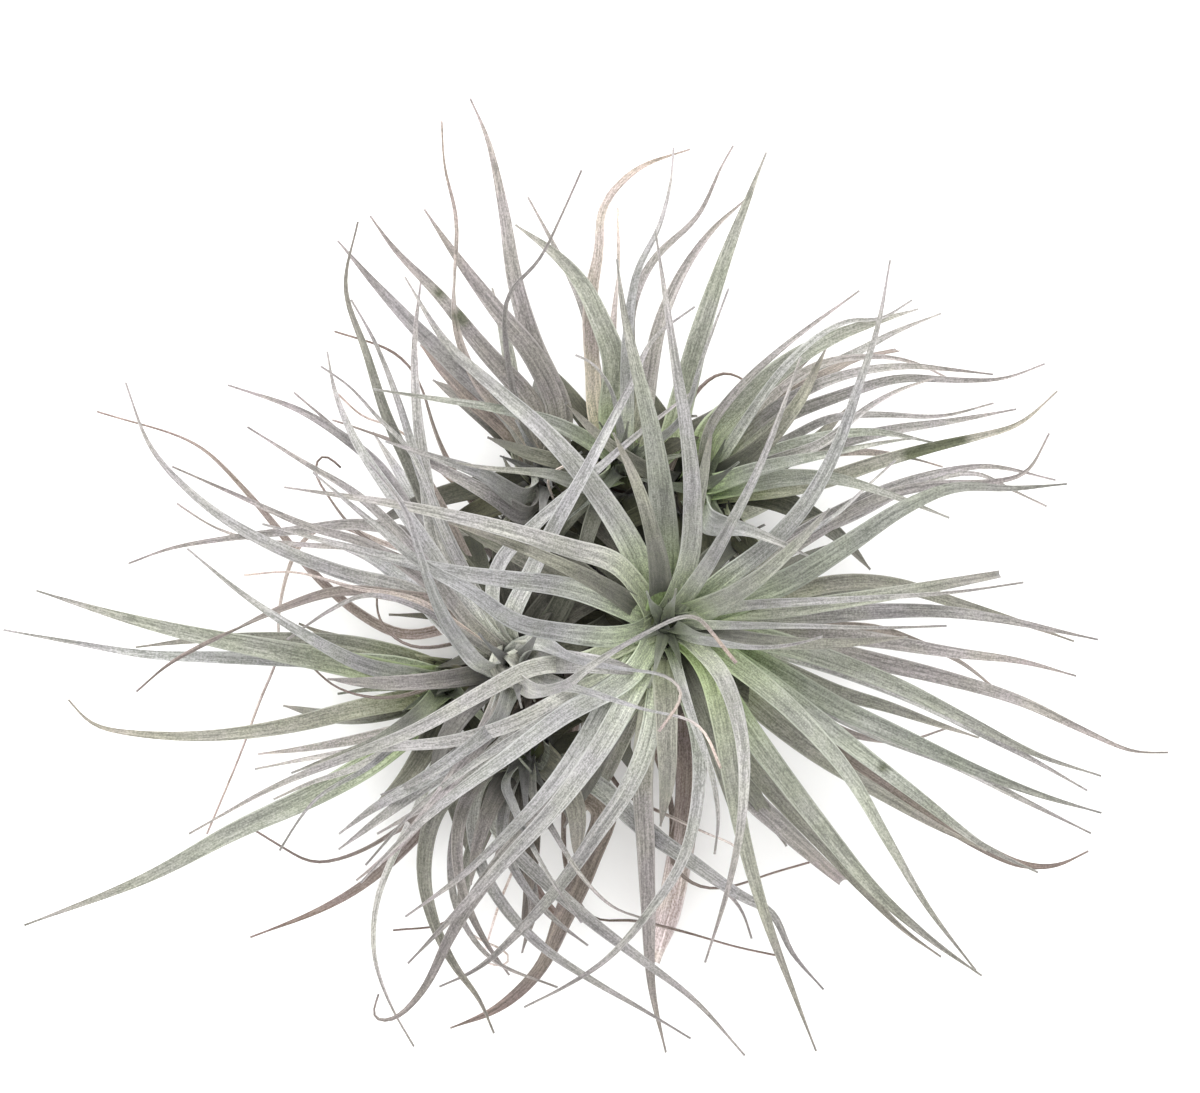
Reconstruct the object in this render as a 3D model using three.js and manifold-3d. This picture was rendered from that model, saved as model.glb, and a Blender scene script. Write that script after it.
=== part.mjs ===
// A clump of silver-leaved air plants: seven rosettes on one old stem, with its last dry leaves.
// Millimetres, +Z up. The origin is the middle of the flat spot that the old stem rests on.
// +X and +Y are the right and the top of the clump as it is seen from above.

import * as THREE from "three";
import { mergeVertices } from "three/addons/utils/BufferGeometryUtils.js";
import Module from "manifold-3d";

// Driving dimensions.
const CLEAR = 0.4; // at least this between neighbouring pieces
const FLOOR = 2.6; // lowest middle line of a leaf
const LEAST_STRETCHES = 3; // straight stretches along the shortest leaf
const STRETCH = 60; // a leaf has one more for each of these
const BLUNT_TAPER = 0.55; // how much of its width a leaf with a cut tip loses on its way
const END_WIDTH = 0.9; // a leaf's blunt tip
const END_DEPTH = 0.7;
const DEPTH_SHARE = 0.2; // a living leaf's keel, as a share of its width
const DRY_DEPTH = 0.75; // a dry leaf's thickness
const BROAD = 1.32; // a leaf's width near its base, as a share of the width given for its middle
const GOLDEN = 137.508; // degrees from one leaf of a rosette to the next
const ROOT_REACH = 0.7; // where a leaf begins inside its rosette's base, as a share of its radius
const MOST_INSIDE = 0.6; // that place, as a share of the way to the leaf's first traced point at most
const ROOT_SHARE = 0.34; // the part of a leaf that may cross its own rosette's leaves
const YOUNG_SHARE = 0.5; // a young leaf's length, as a share of a full one
const LEVEL_SHARE = 0.5; // past this part of its way a leaf lies level from margin to margin
const SHEATH = 0.1; // how much broader a leaf gets towards its very base
const SHEATH_FADE = 4; // how soon that is lost again
const CROWDED = 1.15; // above 1, a leaf's stations stand closer towards its base
const BEND = 28; // degrees that a plain leaf curves to one side at most
const YOUNG_BEND = 5; // the same for a young leaf
const TWIST = 0.25; // radians that a leaf turns about its middle line at most, by its tip
const CURL = 2.2; // how early a leaf rises, and how late it sags
const LEAST_RISE = 0.35; // of a leaf's length, however far it reaches
const MOST_SAG = 0.92; // of its top height
const LENGTH_SPREAD = 0.06; // how far a leaf's length, rise and sag stray from the rule, as shares
const RISE_SPREAD = 0.1;
const SAG_SPREAD = 0.15;
const PLAIN_POINTS = [0.3, 0.65, 1]; // where a plain leaf's arc gets its points, as shares of its way
const SHORTEST_EDGE = 0.01;
const FINE_STEPS = 60; // for measuring along a leaf's middle line

// How a leaf stands, by layer: C right across another rosette, T over the others, M between,
// L under them. They're placed in this order, so that what shows most is bent least. Y is a young
// leaf in the middle, which stands up.
// root: how high it leaves the base, as a share of the base's radius; arch: its rise, as a share
// of what its length allows; sag: how much of its top height it loses again by its tip.
const LAYERS = {
  C: { root: 0.6, arch: 0.78, sag: 0.1 },
  T: { root: 0.5, arch: 0.84, sag: 0.24 },
  M: { root: 0.1, arch: 0.56, sag: 0.42 },
  L: { root: -0.5, arch: 0.27, sag: 0.74 },
  Y: { root: 0.5, arch: 0.8, sag: 0.06 },
};

// Ways to bend a leaf clear of its neighbours, tried in turn: lift in mm, swing in degrees.
const LIFTS = [0, 5, -5, 10, -10, 16, -16, 23, -23, 31, -31, 40, -40, 50];
const SWINGS = [0, 2, -2, 4, -4, 7, -7];
const LAYER_ORDER = "CTML";

// Plain leaves, by their seeds, that would lie over the open places between the rosettes.
const LEFT_OUT = [1107, 2106, 3105, 4100, 4105, 5108, 6105];

// Each leaf: layer, tone, width, then its middle line as seen from above, x,y from base to tip.
// Tones: s silver, g green, o olive, p mauve, b brown and dry, k pink and dry, w pale and dry.
// A capital tone marks a leaf with its tip cut or broken off.
const ROSETTES = [
  {
    name: "rosette_centre", at: [21, -8, 72], lean: [4, 0], base: 10, length: 186, colour: "#aab3a0",
    fill: { count: 15, reach: [60, 104], width: [5, 7], layers: "LLM", turn: 20 },
    young: { count: 5, reach: [12, 34], width: [3.5, 4.5], layers: "Y", turn: 70 },
    leaves: [
      "T s 6.0 29,15 30,35 28,55 25,72 22,92 18,120",
      "T g 8.5 21,15 20,35 17,55 12,75 8,92 5.5,111",
      "M s 7.0 10,18 -3,38 -18,55 -35,70 -50,84 -64,106",
      "T s 6.0 5,12 -10,17 -30,23 -50,28 -70,32 -103,37",
      "T s 6.0 -10,4 -30,7 -45,9 -60,12 -80,17 -110,25",
      "T s 6.0 5,-12 -12,-11 -28,-8 -42,1 -58,9 -72,20 -95,38",
      "T s 5.0 8,-22 -10,-30 -30,-39 -50,-44 -70,-45 -90,-47 -115,-51",
      "T s 6.0 8,-24 -15,-34 -35,-45 -55,-56 -70,-66 -87,-80",
      "M s 6.0 10,-20 -5,-27 -25,-38 -45,-52 -60,-62 -78,-71",
      "M s 3.0 5,-25 -20,-40 -45,-56 -60,-68 -77,-87",
      "C s 5.0 -5,-20 -22,-22 -40,-31 -60,-42 -80,-50 -105,-60 -134,-76",
      "M p 6.0 15,-25 5,-40 -8,-57 -22,-73 -36,-90 -48,-108 -58,-128 -68,-138 -75,-138 -73,-130",
      "M s 5.0 5,-28 -5,-45 -17,-62 -30,-76 -45,-90 -64,-104",
      "M s 6.5 10,-30 0,-48 -15,-68 -30,-84 -45,-100 -63,-119",
      "M s 5.5 16,-45 9,-62 0,-75 -12,-92 -25,-107 -40,-121 -53,-127.5",
      "M s 4.0 26,-25 32,-45 32,-65 27,-85 16,-102 3,-117 -10,-126 -25,-134",
      "M s 3.0 30,-38 36,-55 38.5,-70 37.5,-83",
      "T g 6.0 27,-12 35,-22 40,-40 43,-58 47,-78 54,-103 62,-125 70.5,-147",
      "T s 5.0 30,-14 40,-25 46,-45 46,-68 42,-90 34,-117",
      "M g 6.5 35,-22 47,-40 60,-58 74,-76 90,-95 108,-111 126,-124",
      "L o 5.0 45.5,-49.5 58.6,-65.4 72.7,-80.3 86.6,-95.4 100.6,-109.4 113.6,-119",
      "T g 6.0 34,-14 50,-25 65,-38 80,-55 93,-77 106,-99 122,-120",
      "L P 6.5 34,-35 47,-62 60,-75 72,-86 81,-94",
      "M g 6.0 36,-15 52,-25 70,-38 88,-52 105.5,-65.2 125.5,-80.3 144,-89.5",
      "L b 6.5 50,-30 70,-45 88,-58 108,-71 128,-83 140,-88 152,-88.5 163,-84",
      "M g 6.5 36,-13 55,-22 78,-35 100,-45 122,-55 145,-64 165,-70",
      "M s 5.0 40,-16 65,-30 90,-43 115,-53 138,-65 162,-77",
      "T g 6.5 38,-10 55,-13 75,-19 98,-28 120,-39 142,-50 163,-57",
      "M s 5.0 50,-14 80,-23 105,-33 130,-46 147,-55 161,-63",
      "M p 5.5 45,-12 65,-14.6 90,-20 115,-26 138,-33 160,-43.2 176,-50 188,-50.5",
      "M p 5.5 45,-8 65,-10 90,-13 115,-17 138,-20 157,-25",
      "L b 2.5 60,-9 90,-9 105,-14 120,-21 135,-32 150,-38",
      "T s 2.5 45,-8 65,-8 90,-8.5 112,-8",
      "M p 5.5 45,-4 65,-5 90,-3.5 110,-3.5 130,-6 148,-9.6 164,-13",
      "L o 5.0 45,-1 60,2 80,6 98,5 118,-1 138,-7 158,-14",
      "M G 5.0 40,-4 60,-3 80,0 105,4 131,8.5",
      "T s 3.0 45,-2 70,0 95,1.5 115,3 137,6",
      "L o 5.0 60,-22.6 78,-30.2 95,-35.2 112,-41.2 126,-46",
      "L b 3.0 70,-38 85,-45 100,-47 115,-43",
      "T g 7.5 32,-5 45,0 62,7 80,18 98,30 115,37 133,36.5 152,38",
      "M p 4.5 40,3 60,18 78,29 95,37 112,42 128,44 150,39.5",
      "T s 5.5 30,-2 42,8 56,19 68,33 77,50 84,70 90,88 94.5,111",
      "T s 4.5 28,1 36,13 44,28 51,42 57,57 65,79",
      "M p 4.5 45,5 70,22 95,35 112,38 130,39 140,42 148,55",
      "T s 3.0 30,-12 50,-15 62,-14 72,-11.5",
      "L o 6.0 40,-24 55,-38 72,-51 90,-62 112,-75 128,-83",
      "M s 2.2 50,8 65,20 77,28 88,38 97,46",
      "M g 7.0 40,0 52,8 63,18 75,30",
      "L p 6.0 14,-55 15,-80 16,-105 17,-128 22,-151",
      "L o 7.0 22,-45 22,-60 20,-75",
      "T k 3.5 22,-2 28,-3 34,-6 39,-12 44,-20",
      "L o 6.0 12,-34 6,-48 1,-60 -6,-72",
      "L B 4.0 30,-30 33,-50 33,-62 32,-74",
    ],
  },
  {
    name: "rosette_left", at: [-28, -22, 61], lean: [-3, 1], base: 9, length: 176, colour: "#a3ab98",
    fill: { count: 10, reach: [40, 70], width: [5, 7], layers: "L", turn: 55 },
    young: { count: 3, reach: [10, 26], width: [3.5, 4.5], layers: "Y", turn: 140 },
    leaves: [
      "M s 4.5 -35,-2 -33,12 -20,26 -5,39 12,54 31,69",
      "M s 5.0 -30,-8 -24,6 -15,24 -6,40 3,57 10,70 17,85 31,96",
      "C k 3.5 -22,-13 -8,-19 8,-22 21,-24 27,-29 19,-42",
      "C k 3.0 -20,-26 -3,-30 14,-35 32,-40 39,-54",
      "M s 5.0 -38,-10 -48,4 -58,20 -70,37 -80,52 -87,68 -90,82",
      "M s 5.0 -36,-10 -46,4 -54,20 -57,40 -60,62 -61,85 -59,107",
      "M o 4.5 -42,5 -54,25 -63,45 -70,60 -77,82 -84,103 -80,125",
      "M s 4.0 -45,10 -58,40 -66,65 -74,85 -82,99",
      "M s 2.5 -50,20 -62,49 -72,59 -82,70 -92,77",
      "M p 5.0 -45,0 -58,20 -72,43 -85,54 -100,63 -123,71",
      "L p 3.0 -50,8 -70,38 -88,57 -102,69",
      "L b 4.0 -55,35 -65,50 -80,57 -89,60",
      "M p 4.0 -45,-5 -62,18 -80,35 -95,44 -116,57",
      "M p 3.5 -50,0 -75,18 -95,24 -118,34 -141,44",
      "M s 4.5 -45,-12 -60,2 -85,9 -112,20 -132,33 -148,50 -157,72",
      "M p 4.0 -60,20 -78,25 -100,23 -125,20 -142,17 -156,12",
      "L p 2.2 -70,15 -95,18 -115,20 -128,24 -141,32",
      "M b 4.0 -50,-2 -65,1 -85,3 -105,-3 -125,-12 -142,-21 -153,-30",
      "M k 2.0 -60,0 -80,4 -100,9 -117,8",
      "T s 5.0 -38,-22 -48,-10 -53,0 -58,15 -63,30 -75,45",
      "M p 2.2 -60,-2 -76,2 -88,-3 -103,-13",
      "L s 6.0 -42,2 -58,28 -68,44 -76,56",
      "L s 6.0 -44,-14 -62,4 -74,13 -88,18",
    ],
  },
  {
    name: "rosette_upper_right", at: [33, 36, 46], lean: [5, 5], base: 9, length: 158, colour: "#a0aa8e",
    fill: { count: 10, reach: [42, 76], width: [5, 7], layers: "LLM", turn: 10 },
    young: { count: 3, reach: [14, 30], width: [3.5, 4.5], layers: "Y", turn: 35 },
    leaves: [
      "M p 3.0 36,56 46,70 60,83 85.5,102",
      "M g 8.0 36,54 48,66 62,78 78,87 92,92 105,96",
      "M s 3.0 60,76 72,87 82,92 92,92.5 103,99",
      "L s 4.0 45,58 65,72 85,82 98,89 114,95.5",
      "L B 4.0 50,58 70,72 86,80 99,83",
      "M p 4.0 45,52 62,66 80,74 100,77 115,76 130,74.5",
      "L p 3.0 50,60 70,77 88,80.5 103,79 115,74",
      "M p 4.0 42,48 58,59 78,67 98,73 118,72.5 133,73 147,78",
      "M p 4.0 55,45 74,52 86,62 98,69 110,73",
      "M p 3.0 45,44 62,53 76,60 92,61 112,60.5 130,65",
      "L p 4.0 50,44 75,51 95,56 118,59.5 139,63.5",
      "M o 5.0 50,36 72,39 90,45 108,50 125,54 138,58 151,69",
      "M g 4.5 40,41 55,48 72,53.5 90,55.5 110,52",
      "T g 5.0 38,38 55,44 75,48 95,52 103,53",
      "L b 3.0 60,45 80,49 98,48 114,44",
      "T g 6.0 42,37 58,40 75,40 90,36 114,27",
      "T s 7.5 36,26 48,23 58,19 68,14.5",
      "L p 3.0 55,20 80,26 105,38 125,42 136,37 149,31",
      "L o 8.0 42,30 55,34 65,38",
      "L o 8.0 39,26 46,18 56,12",
    ],
  },
  {
    name: "rosette_upper", at: [8, 44, 50], lean: [0, 5], base: 9, length: 150, colour: "#9ea98c",
    fill: { count: 11, reach: [38, 64], width: [5, 7], layers: "L", turn: 75 },
    young: { count: 3, reach: [14, 30], width: [3.5, 4.5], layers: "Y", turn: 90 },
    leaves: [
      "M g 8.0 4,62 5,78 0,92 -6,104 -15,114 -28,124",
      "M k 5.0 -1,60 -3,80 -3,100 0,115 1,129 12,142 30,149",
      "L k 3.0 3,60 4,85 6,110 6,130",
      "T s 4.0 9,65 9,85 12,107 19,121 23,136 24,148",
      "M p 3.5 11,70 10.2,95 17.6,112 32,126 40,143 44,150",
      "M p 5.0 14,60 17,78 20,92 27,108 37,122 49,133",
      "M g 7.0 22,50 27,66 33,88 41,112 49,133 55,148",
      "T s 2.5 27,60 33,78 42,102",
      "L p 3.0 0,70 -5,95 -15,117 -24,134",
      "T s 2.5 6,60 3,70 -2,77 -8,80",
      "T g 4.5 0,50 -15,58 -35,63 -55,66 -74,69",
      "T g 5.5 -3,38 -18,41.5 -36,43 -47,45",
      "M k 1.2 -3,45 -12,44 -17,40 -15,33",
    ],
  },
  {
    name: "rosette_upper_left", at: [-17, 40, 44], lean: [-4, 4], base: 8.5, length: 150, colour: "#a8ab9c",
    fill: { count: 10, reach: [38, 64], width: [5, 7], layers: "L", turn: 130 },
    young: { count: 3, reach: [14, 30], width: [3.5, 4.5], layers: "Y", turn: 120 },
    leaves: [
      "M p 6.5 -28,60 -45,75 -60,89 -73,103 -87,119",
      "M p 6.0 -22.3,63.7 -38.3,82.6 -52.3,99.6 -67,114.7 -76,127",
      "M p 7.5 -13.6,62 -21.6,80.2 -34.6,96.2 -46.7,112.2 -58,129",
      "M p 6.0 -14,65 -22,85 -28,105 -32,130 -37,152 -43,166",
      "T k 3.0 -25,55 -38,68 -46,85 -48,98 -47,125 -51,142 -52,157",
      "T p 2.0 -26,60 -31,85 -30,100 -20,111 -13,125 -6,141",
      "L o 5.0 -25,45 -28,60 -30,80 -36,104",
      "L b 6.0 -24,50 -33,58 -45,69 -60,85",
      "T s 6.0 -26,34 -38,41 -55,47 -70,52",
      "M p 6.0 -24,28 -35,34 -50,42 -66,50",
      "L o 6.0 -35,20 -50,24 -65,33",
    ],
  },
  {
    name: "rosette_far_left", at: [-50, -28, 36], lean: [-6, -1], base: 8, length: 160, colour: "#9fa991",
    fill: { count: 7, reach: [34, 62], width: [5, 7], layers: "L", turn: 160 },
    young: { count: 2, reach: [20, 40], width: [3.5, 4.5], layers: "Y", turn: 180 },
    leaves: [
      "M g 7.0 -60,-27 -85,-21 -110,-16 -135,-11 -160,-5 -187,3",
      "M s 4.5 -65,-22 -95,-20 -125,-19 -150,-18 -175,-14 -198,-10",
      "L o 5.0 -60,-21 -80,-15 -105,-13 -130,-13 -155,-16",
      "L o 8.0 -60,-24 -78,-19 -95,-17 -120,-14",
      "T s 5.0 -62,-25 -78,-21 -95,-12 -115,1 -135,17",
      "M o 5.2 -60,-32 -80,-36 -105,-42 -130,-45 -155,-44 -168,-41 -176,-33",
      "M g 6.8 -58,-38 -75,-53 -95,-64.6 -120,-76 -150,-92 -191,-108",
      "M s 3.0 -60,-42 -80,-55 -95,-60 -108,-66",
      "T s 2.5 -62,-42 -75,-54 -92,-64 -98,-71 -105,-82",
      "T g 5.0 -60,-38 -72,-46 -86,-52 -100,-58",
      "L p 3.5 -58,-40 -75,-45 -95,-49 -114,-51.5",
      "L s 2.5 -54,-52 -62,-72 -68,-84 -74,-100 -75,-118 -70,-134 -62,-149",
    ],
  },
  {
    name: "rosette_lower", at: [-25, -50, 40], lean: [0, -5], base: 8.5, length: 158, colour: "#a2aa94",
    fill: { count: 8, reach: [30, 54], width: [5, 7], layers: "L", turn: 265 },
    young: { count: 3, reach: [14, 32], width: [3.5, 4.5], layers: "Y", turn: 270 },
    leaves: [
      "M o 5.5 -44,-60 -54,-70 -58,-88 -55,-105 -48,-120 -40,-131 -35,-143",
      "M s 3.0 -42,-62 -48,-78 -49,-92 -47,-102 -36,-118 -14,-128",
      "M s 4.0 -39,-60 -42,-72 -39,-88 -30,-103 -18,-115 -3,-125 14,-135 30,-145",
      "M s 4.5 -34,-61 -36,-70 -30,-81 -18,-93 -3,-106 14,-119 32,-133 48,-151",
      "T s 3.0 -31,-60 -28,-68 -21,-82 -13,-95 -6,-105",
      "T s 2.5 -22,-58 -22,-64 -15,-76 -6,-90 4,-100 14,-104",
      "M s 5.5 -15,-54 0,-62 14,-75 30.5,-86.4 46.4,-97.4 57,-103 63,-116 74,-129",
      "L s 3.0 -10,-56 8,-68 25,-82 40,-95 47,-103 50.5,-113",
      "L b 8.0 -16,-60 2,-68 -4,-87 -12,-104 -20,-122 -34,-136 -50,-143",
      "L o 8.0 -14,-58 -8,-68 -8,-86",
    ],
  },
];

// A rosette's base, as shares of its radius: radius, height.
const BASE_PROFILE = [
  [0, -1.5], [0.55, -1.4], [0.9, -0.7], [1, 0], [0.8, 0.8], [0.4, 1.2], [0, 1.25],
];
const BASE_SIDES = 9;

// The old stem: a flat-bottomed foot, with a short branch up to each rosette.
const FOOT = [[26, 0], [27, 3], [24, 9], [17, 16], [8, 21]]; // radius, height
const FOOT_SIDES = 14;
const BRANCH_RADIUS = 5.5;
const BRANCH_FROM = 12; // height at which the branches part

// The old stem with the dry leaves that still hang on it.
const OLD_STEM = {
  name: "old_stem", at: [0, 0, 14], base: 20, length: 150, colour: "#8f7a68",
  leaves: [
    "L b 3.0 -45,-8 -65,-12 -80,-5 -95,8 -108,24 -120,38 -135,52 -168,63",
    "M k 1.6 -70,18 -90,25 -100,18 -107,-5 -107,-18 -113,-33 -120,-52 -131,-78",
    "M b 1.8 -60,-16 -70,-11 -74,-4 -74,3",
    "M b 1.8 -62,-31 -75,-32.5 -88,-29 -95,-23",
    "M b 2.5 -40,30 -50,45 -55,57 -60,73 -68,82 -88,89",
    "M k 1.4 -50,40 -68,57 -78,60 -87,68",
    "M b 2.5 -60,12 -80,22 -90,34 -95,43 -92,49 -86,44",
    "L b 2.5 -40,-50 -58,-68 -68,-77 -82,-85 -96,-88 -106,-83 -116,-77",
    "L b 5.5 -36,-46 -48,-62 -60,-77 -75,-92 -92,-103 -117,-113",
    "L W 7.0 26,-30 29,-50 28,-75 24,-98 18,-121",
    "L b 2.0 24,-70 24,-88 33,-96 44,-96 56,-92 70,-88",
    "M w 1.6 0,-50 8,-64 22,-71 35,-77 46,-82 52,-92",
    "L b 1.6 -12,-70 -10,-95 -2,-107 10,-107 28,-111 45,-116 59,-119",
    "L w 4.0 -24,-66 -28,-88 -33,-100 -38,-117",
    "L w 1.6 -45,-90 -47,-108 -38,-115 -30,-118 -31,-123 -38,-121",
    "L b 1.6 -40,-85 -50,-107 -69,-110.5",
    "L B 5.0 -14,-50 -27,-82 -22,-96 -14,-106",
    "M b 2.5 26,50 30,66 36,73 42,75.5 52,70",
  ],
};

const wasm = await Module();
wasm.setup();
const { Manifold, Mesh } = wasm;

const mix = (from, to, share) => from + (to - from) * share;
const radians = THREE.MathUtils.degToRad;

const strayed = (spread, random) => mix(1 - spread, 1 + spread, random());

// Numbers from 0 to 1 that are the same on every run.
function randomFrom(seed) {
  let state = seed >>> 0;
  return () => {
    state = (state + 0x6d2b79f5) >>> 0;
    let mixed = Math.imul(state ^ (state >>> 15), state | 1);
    mixed ^= mixed + Math.imul(mixed ^ (mixed >>> 7), mixed | 61);
    return ((mixed ^ (mixed >>> 14)) >>> 0) / 4294967296;
  };
}

function leafFrom(text, rosette, seed) {
  const [layer, tone, width, ...places] = text.split(" ");
  const points = places.map((place) => place.split(",").map(Number));
  const dry = "bkwBW".includes(tone);
  const taper = tone === tone.toLowerCase() ? 1 : BLUNT_TAPER;
  return { rosette, layer, dry, taper, width: Number(width), share: 1, points, seed };
}

// A leaf that shows little from above: a plain arc outwards.
function arcLeaf(rosette, angle, most, reach, width, layer, share, seed) {
  const bend = mix(-most, most, randomFrom(seed + 500)());
  const points = PLAIN_POINTS.map((way) => {
    const turned = radians(angle + bend * way);
    const out = mix(ROOT_REACH * rosette.base, reach, way);
    return [rosette.at[0] + out * Math.cos(turned), rosette.at[1] + out * Math.sin(turned)];
  });
  return { rosette, layer, dry: false, taper: 1, width, share, points, seed };
}

// Lower leaves turned by the golden angle, and a few young ones that stand in the middle.
function plainLeaves(rosette, seed) {
  const leaves = [];
  for (const [kind, share, most] of [["fill", 1, BEND], ["young", YOUNG_SHARE, YOUNG_BEND]]) {
    const { count, reach, width, layers, turn } = rosette[kind];
    for (let i = 0; i < count; i += 1) {
      const own = seed + leaves.length;
      const random = randomFrom(own + 700);
      const out = mix(reach[0], reach[1], random());
      const wide = mix(width[0], width[1], random());
      const layer = layers[i % layers.length];
      leaves.push(arcLeaf(rosette, turn + GOLDEN * i, most, out, wide, layer, share, own));
    }
  }
  return leaves;
}

// The leaf's middle line, bent by a lift and a swing: a point for each share of its way.
function middleLine(leaf, lift, swing) {
  const { rosette, points, layer, share: grown, seed } = leaf;
  const random = randomFrom(seed);
  const length = rosette.length * grown * strayed(LENGTH_SPREAD, random);
  const stand = LAYERS[layer];
  const [cx, cy, cz] = rosette.at;
  const away = Math.hypot(points[0][0] - cx, points[0][1] - cy);
  const inside = Math.min((ROOT_REACH * rosette.base) / away, MOST_INSIDE);
  const root = new THREE.Vector3(mix(cx, points[0][0], inside), mix(cy, points[0][1], inside), 0);
  const turn = radians(swing);
  const outward = points.map(([x, y]) => {
    const [dx, dy] = [x - root.x, y - root.y];
    const turnedX = dx * Math.cos(turn) - dy * Math.sin(turn);
    const turnedY = dx * Math.sin(turn) + dy * Math.cos(turn);
    return new THREE.Vector3(root.x + turnedX, root.y + turnedY, 0);
  });
  const fine = new THREE.CatmullRomCurve3([root, ...outward]).getPoints(FINE_STEPS);
  const run = [0];
  for (let i = 1; i <= FINE_STEPS; i += 1) run.push(run[i - 1] + fine[i].distanceTo(fine[i - 1]));
  const reach = run[FINE_STEPS];
  const allowed = Math.max(Math.sqrt(Math.max(length ** 2 - reach ** 2, 0)), LEAST_RISE * length);
  const rootHeight = cz + stand.root * rosette.base;
  const rise = stand.arch * strayed(RISE_SPREAD, random) * allowed;
  const sag = Math.min(stand.sag * strayed(SAG_SPREAD, random), MOST_SAG) * (rootHeight + rise);
  const heightAt = (share) => {
    const risen = (rise + lift) * (1 - (1 - share) ** CURL);
    return Math.max(rootHeight + risen - sag * share ** CURL, FLOOR);
  };
  const pointAt = (share) => {
    const target = share * reach;
    let i = 1;
    while (i < FINE_STEPS && run[i] < target) i += 1;
    const point = fine[i - 1].clone().lerp(fine[i], (target - run[i - 1]) / (run[i] - run[i - 1]));
    point.z = heightAt(share);
    return point;
  };
  const stations = Math.round(LEAST_STRETCHES + reach / STRETCH);
  return { pointAt, stations, twist: mix(-TWIST, TWIST, random()) };
}

function solidFrom(vertices, triangles) {
  return new Manifold(
    new Mesh({
      numProp: 3,
      vertProperties: new Float32Array(vertices),
      triVerts: new Uint32Array(triangles),
    }),
  );
}

function solidFromGeometry(geometry) {
  const bare = geometry.clone();
  bare.deleteAttribute("normal");
  bare.deleteAttribute("uv");
  const merged = mergeVertices(bare, 1e-4);
  return solidFrom(merged.attributes.position.array, merged.index.array);
}

// A leaf as a closed blade of three sides: its two margins, and a keel below. It may be wider
// all round by spare, and may leave out its first part. It's made from its tip inwards, and its
// steep inner part turns about its middle line no more than it has to.
function blade(leaf, line, spare = 0, from = 0) {
  const { pointAt, stations, twist } = line;
  const vertices = [];
  const triangles = [];
  let across = null;
  for (let i = stations; i >= 0; i -= 1) {
    const share = mix(from, 1, (i / stations) ** CROWDED);
    const point = pointAt(share);
    const tangent = pointAt(Math.min(share + 0.02, 1)).sub(pointAt(Math.max(share - 0.02, 0)));
    tangent.normalize();
    if (!across || share > LEVEL_SHARE) {
      across = new THREE.Vector3(-tangent.y, tangent.x, 0).normalize();
      across.applyAxisAngle(tangent, twist * share);
    }
    across = across.clone().addScaledVector(tangent, -across.dot(tangent)).normalize();
    const up = new THREE.Vector3().crossVectors(tangent, across);
    const sheath = 1 + SHEATH * (1 - share) ** SHEATH_FADE;
    const width = leaf.width * BROAD * (1 - leaf.taper * share ** 2) * sheath;
    const half = Math.max(width, END_WIDTH) / 2 + 2 * spare;
    const depth = Math.max(leaf.dry ? DRY_DEPTH : width * DEPTH_SHARE, END_DEPTH) + spare;
    for (const [out, rise] of [[half, spare], [-half, spare], [0, -depth]]) {
      const corner = point.clone().addScaledVector(across, out).addScaledVector(up, rise);
      vertices.push(...corner.toArray());
    }
  }
  for (let i = 0; i < stations; i += 1) {
    for (let j = 0; j < 3; j += 1) {
      const a = 3 * i + j;
      const b = 3 * i + ((j + 1) % 3);
      triangles.push(a, b + 3, b, a, a + 3, b + 3);
    }
  }
  const last = 3 * stations;
  triangles.push(0, 1, 2, last, last + 2, last + 1);
  return solidFrom(vertices, triangles);
}

// The one outer body of a join, without the join's shortest edges, its scraps and sealed hollows.
function wholeBody(solid) {
  const pieces = solid.simplify(SHORTEST_EDGE).decompose();
  pieces.sort((one, other) => other.volume() - one.volume());
  return pieces[0];
}

// The rosette's base: a small bulb of leaf sheaths, leaning with the rosette.
function rosetteBase(rosette, spare = 0) {
  const profile = BASE_PROFILE.map(([radius, height]) => {
    const out = radius && radius * rosette.base + spare;
    return new THREE.Vector2(out, height * rosette.base + Math.sign(height) * spare);
  });
  const geometry = new THREE.LatheGeometry(profile, BASE_SIDES);
  geometry.rotateX(Math.PI / 2);
  const axis = new THREE.Vector3(rosette.lean[0], rosette.lean[1], 20).normalize();
  const upright = new THREE.Vector3(0, 0, 1);
  geometry.applyQuaternion(new THREE.Quaternion().setFromUnitVectors(upright, axis));
  geometry.translate(...rosette.at);
  return solidFromGeometry(geometry);
}

// The old stem without its leaves, hollowed to a close seat under each rosette's base.
function bareStem() {
  const outline = [[0, 0], ...FOOT, [0, FOOT[FOOT.length - 1][1]]];
  const foot = new THREE.LatheGeometry(outline.map(([x, y]) => new THREE.Vector2(x, y)), FOOT_SIDES);
  foot.rotateX(Math.PI / 2);
  const section = new THREE.Shape();
  section.absarc(0, 0, BRANCH_RADIUS, 0, 2 * Math.PI);
  const branches = ROSETTES.map(({ at: [x, y, z], lean, base }) => {
    const path = new THREE.CatmullRomCurve3([
      new THREE.Vector3(x * 0.1, y * 0.1, BRANCH_FROM),
      new THREE.Vector3(x * 0.6, y * 0.6, mix(BRANCH_FROM, z - base, 0.5)),
      new THREE.Vector3(x - lean[0] / 2, y - lean[1] / 2, z - base),
    ]);
    return solidFromGeometry(
      new THREE.ExtrudeGeometry(section, { steps: 4, curveSegments: 4, extrudePath: path }),
    );
  });
  const joined = Manifold.union([solidFromGeometry(foot), ...branches]);
  const seats = ROSETTES.map((rosette) => rosetteBase(rosette, CLEAR));
  return wholeBody(joined.subtract(Manifold.union(seats)));
}

const touches = (one, other) => !one.intersect(other).isEmpty();

function boxesMeet(a, b) {
  return [0, 1, 2].every((axis) => a.min[axis] <= b.max[axis] && b.min[axis] <= a.max[axis]);
}

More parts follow.
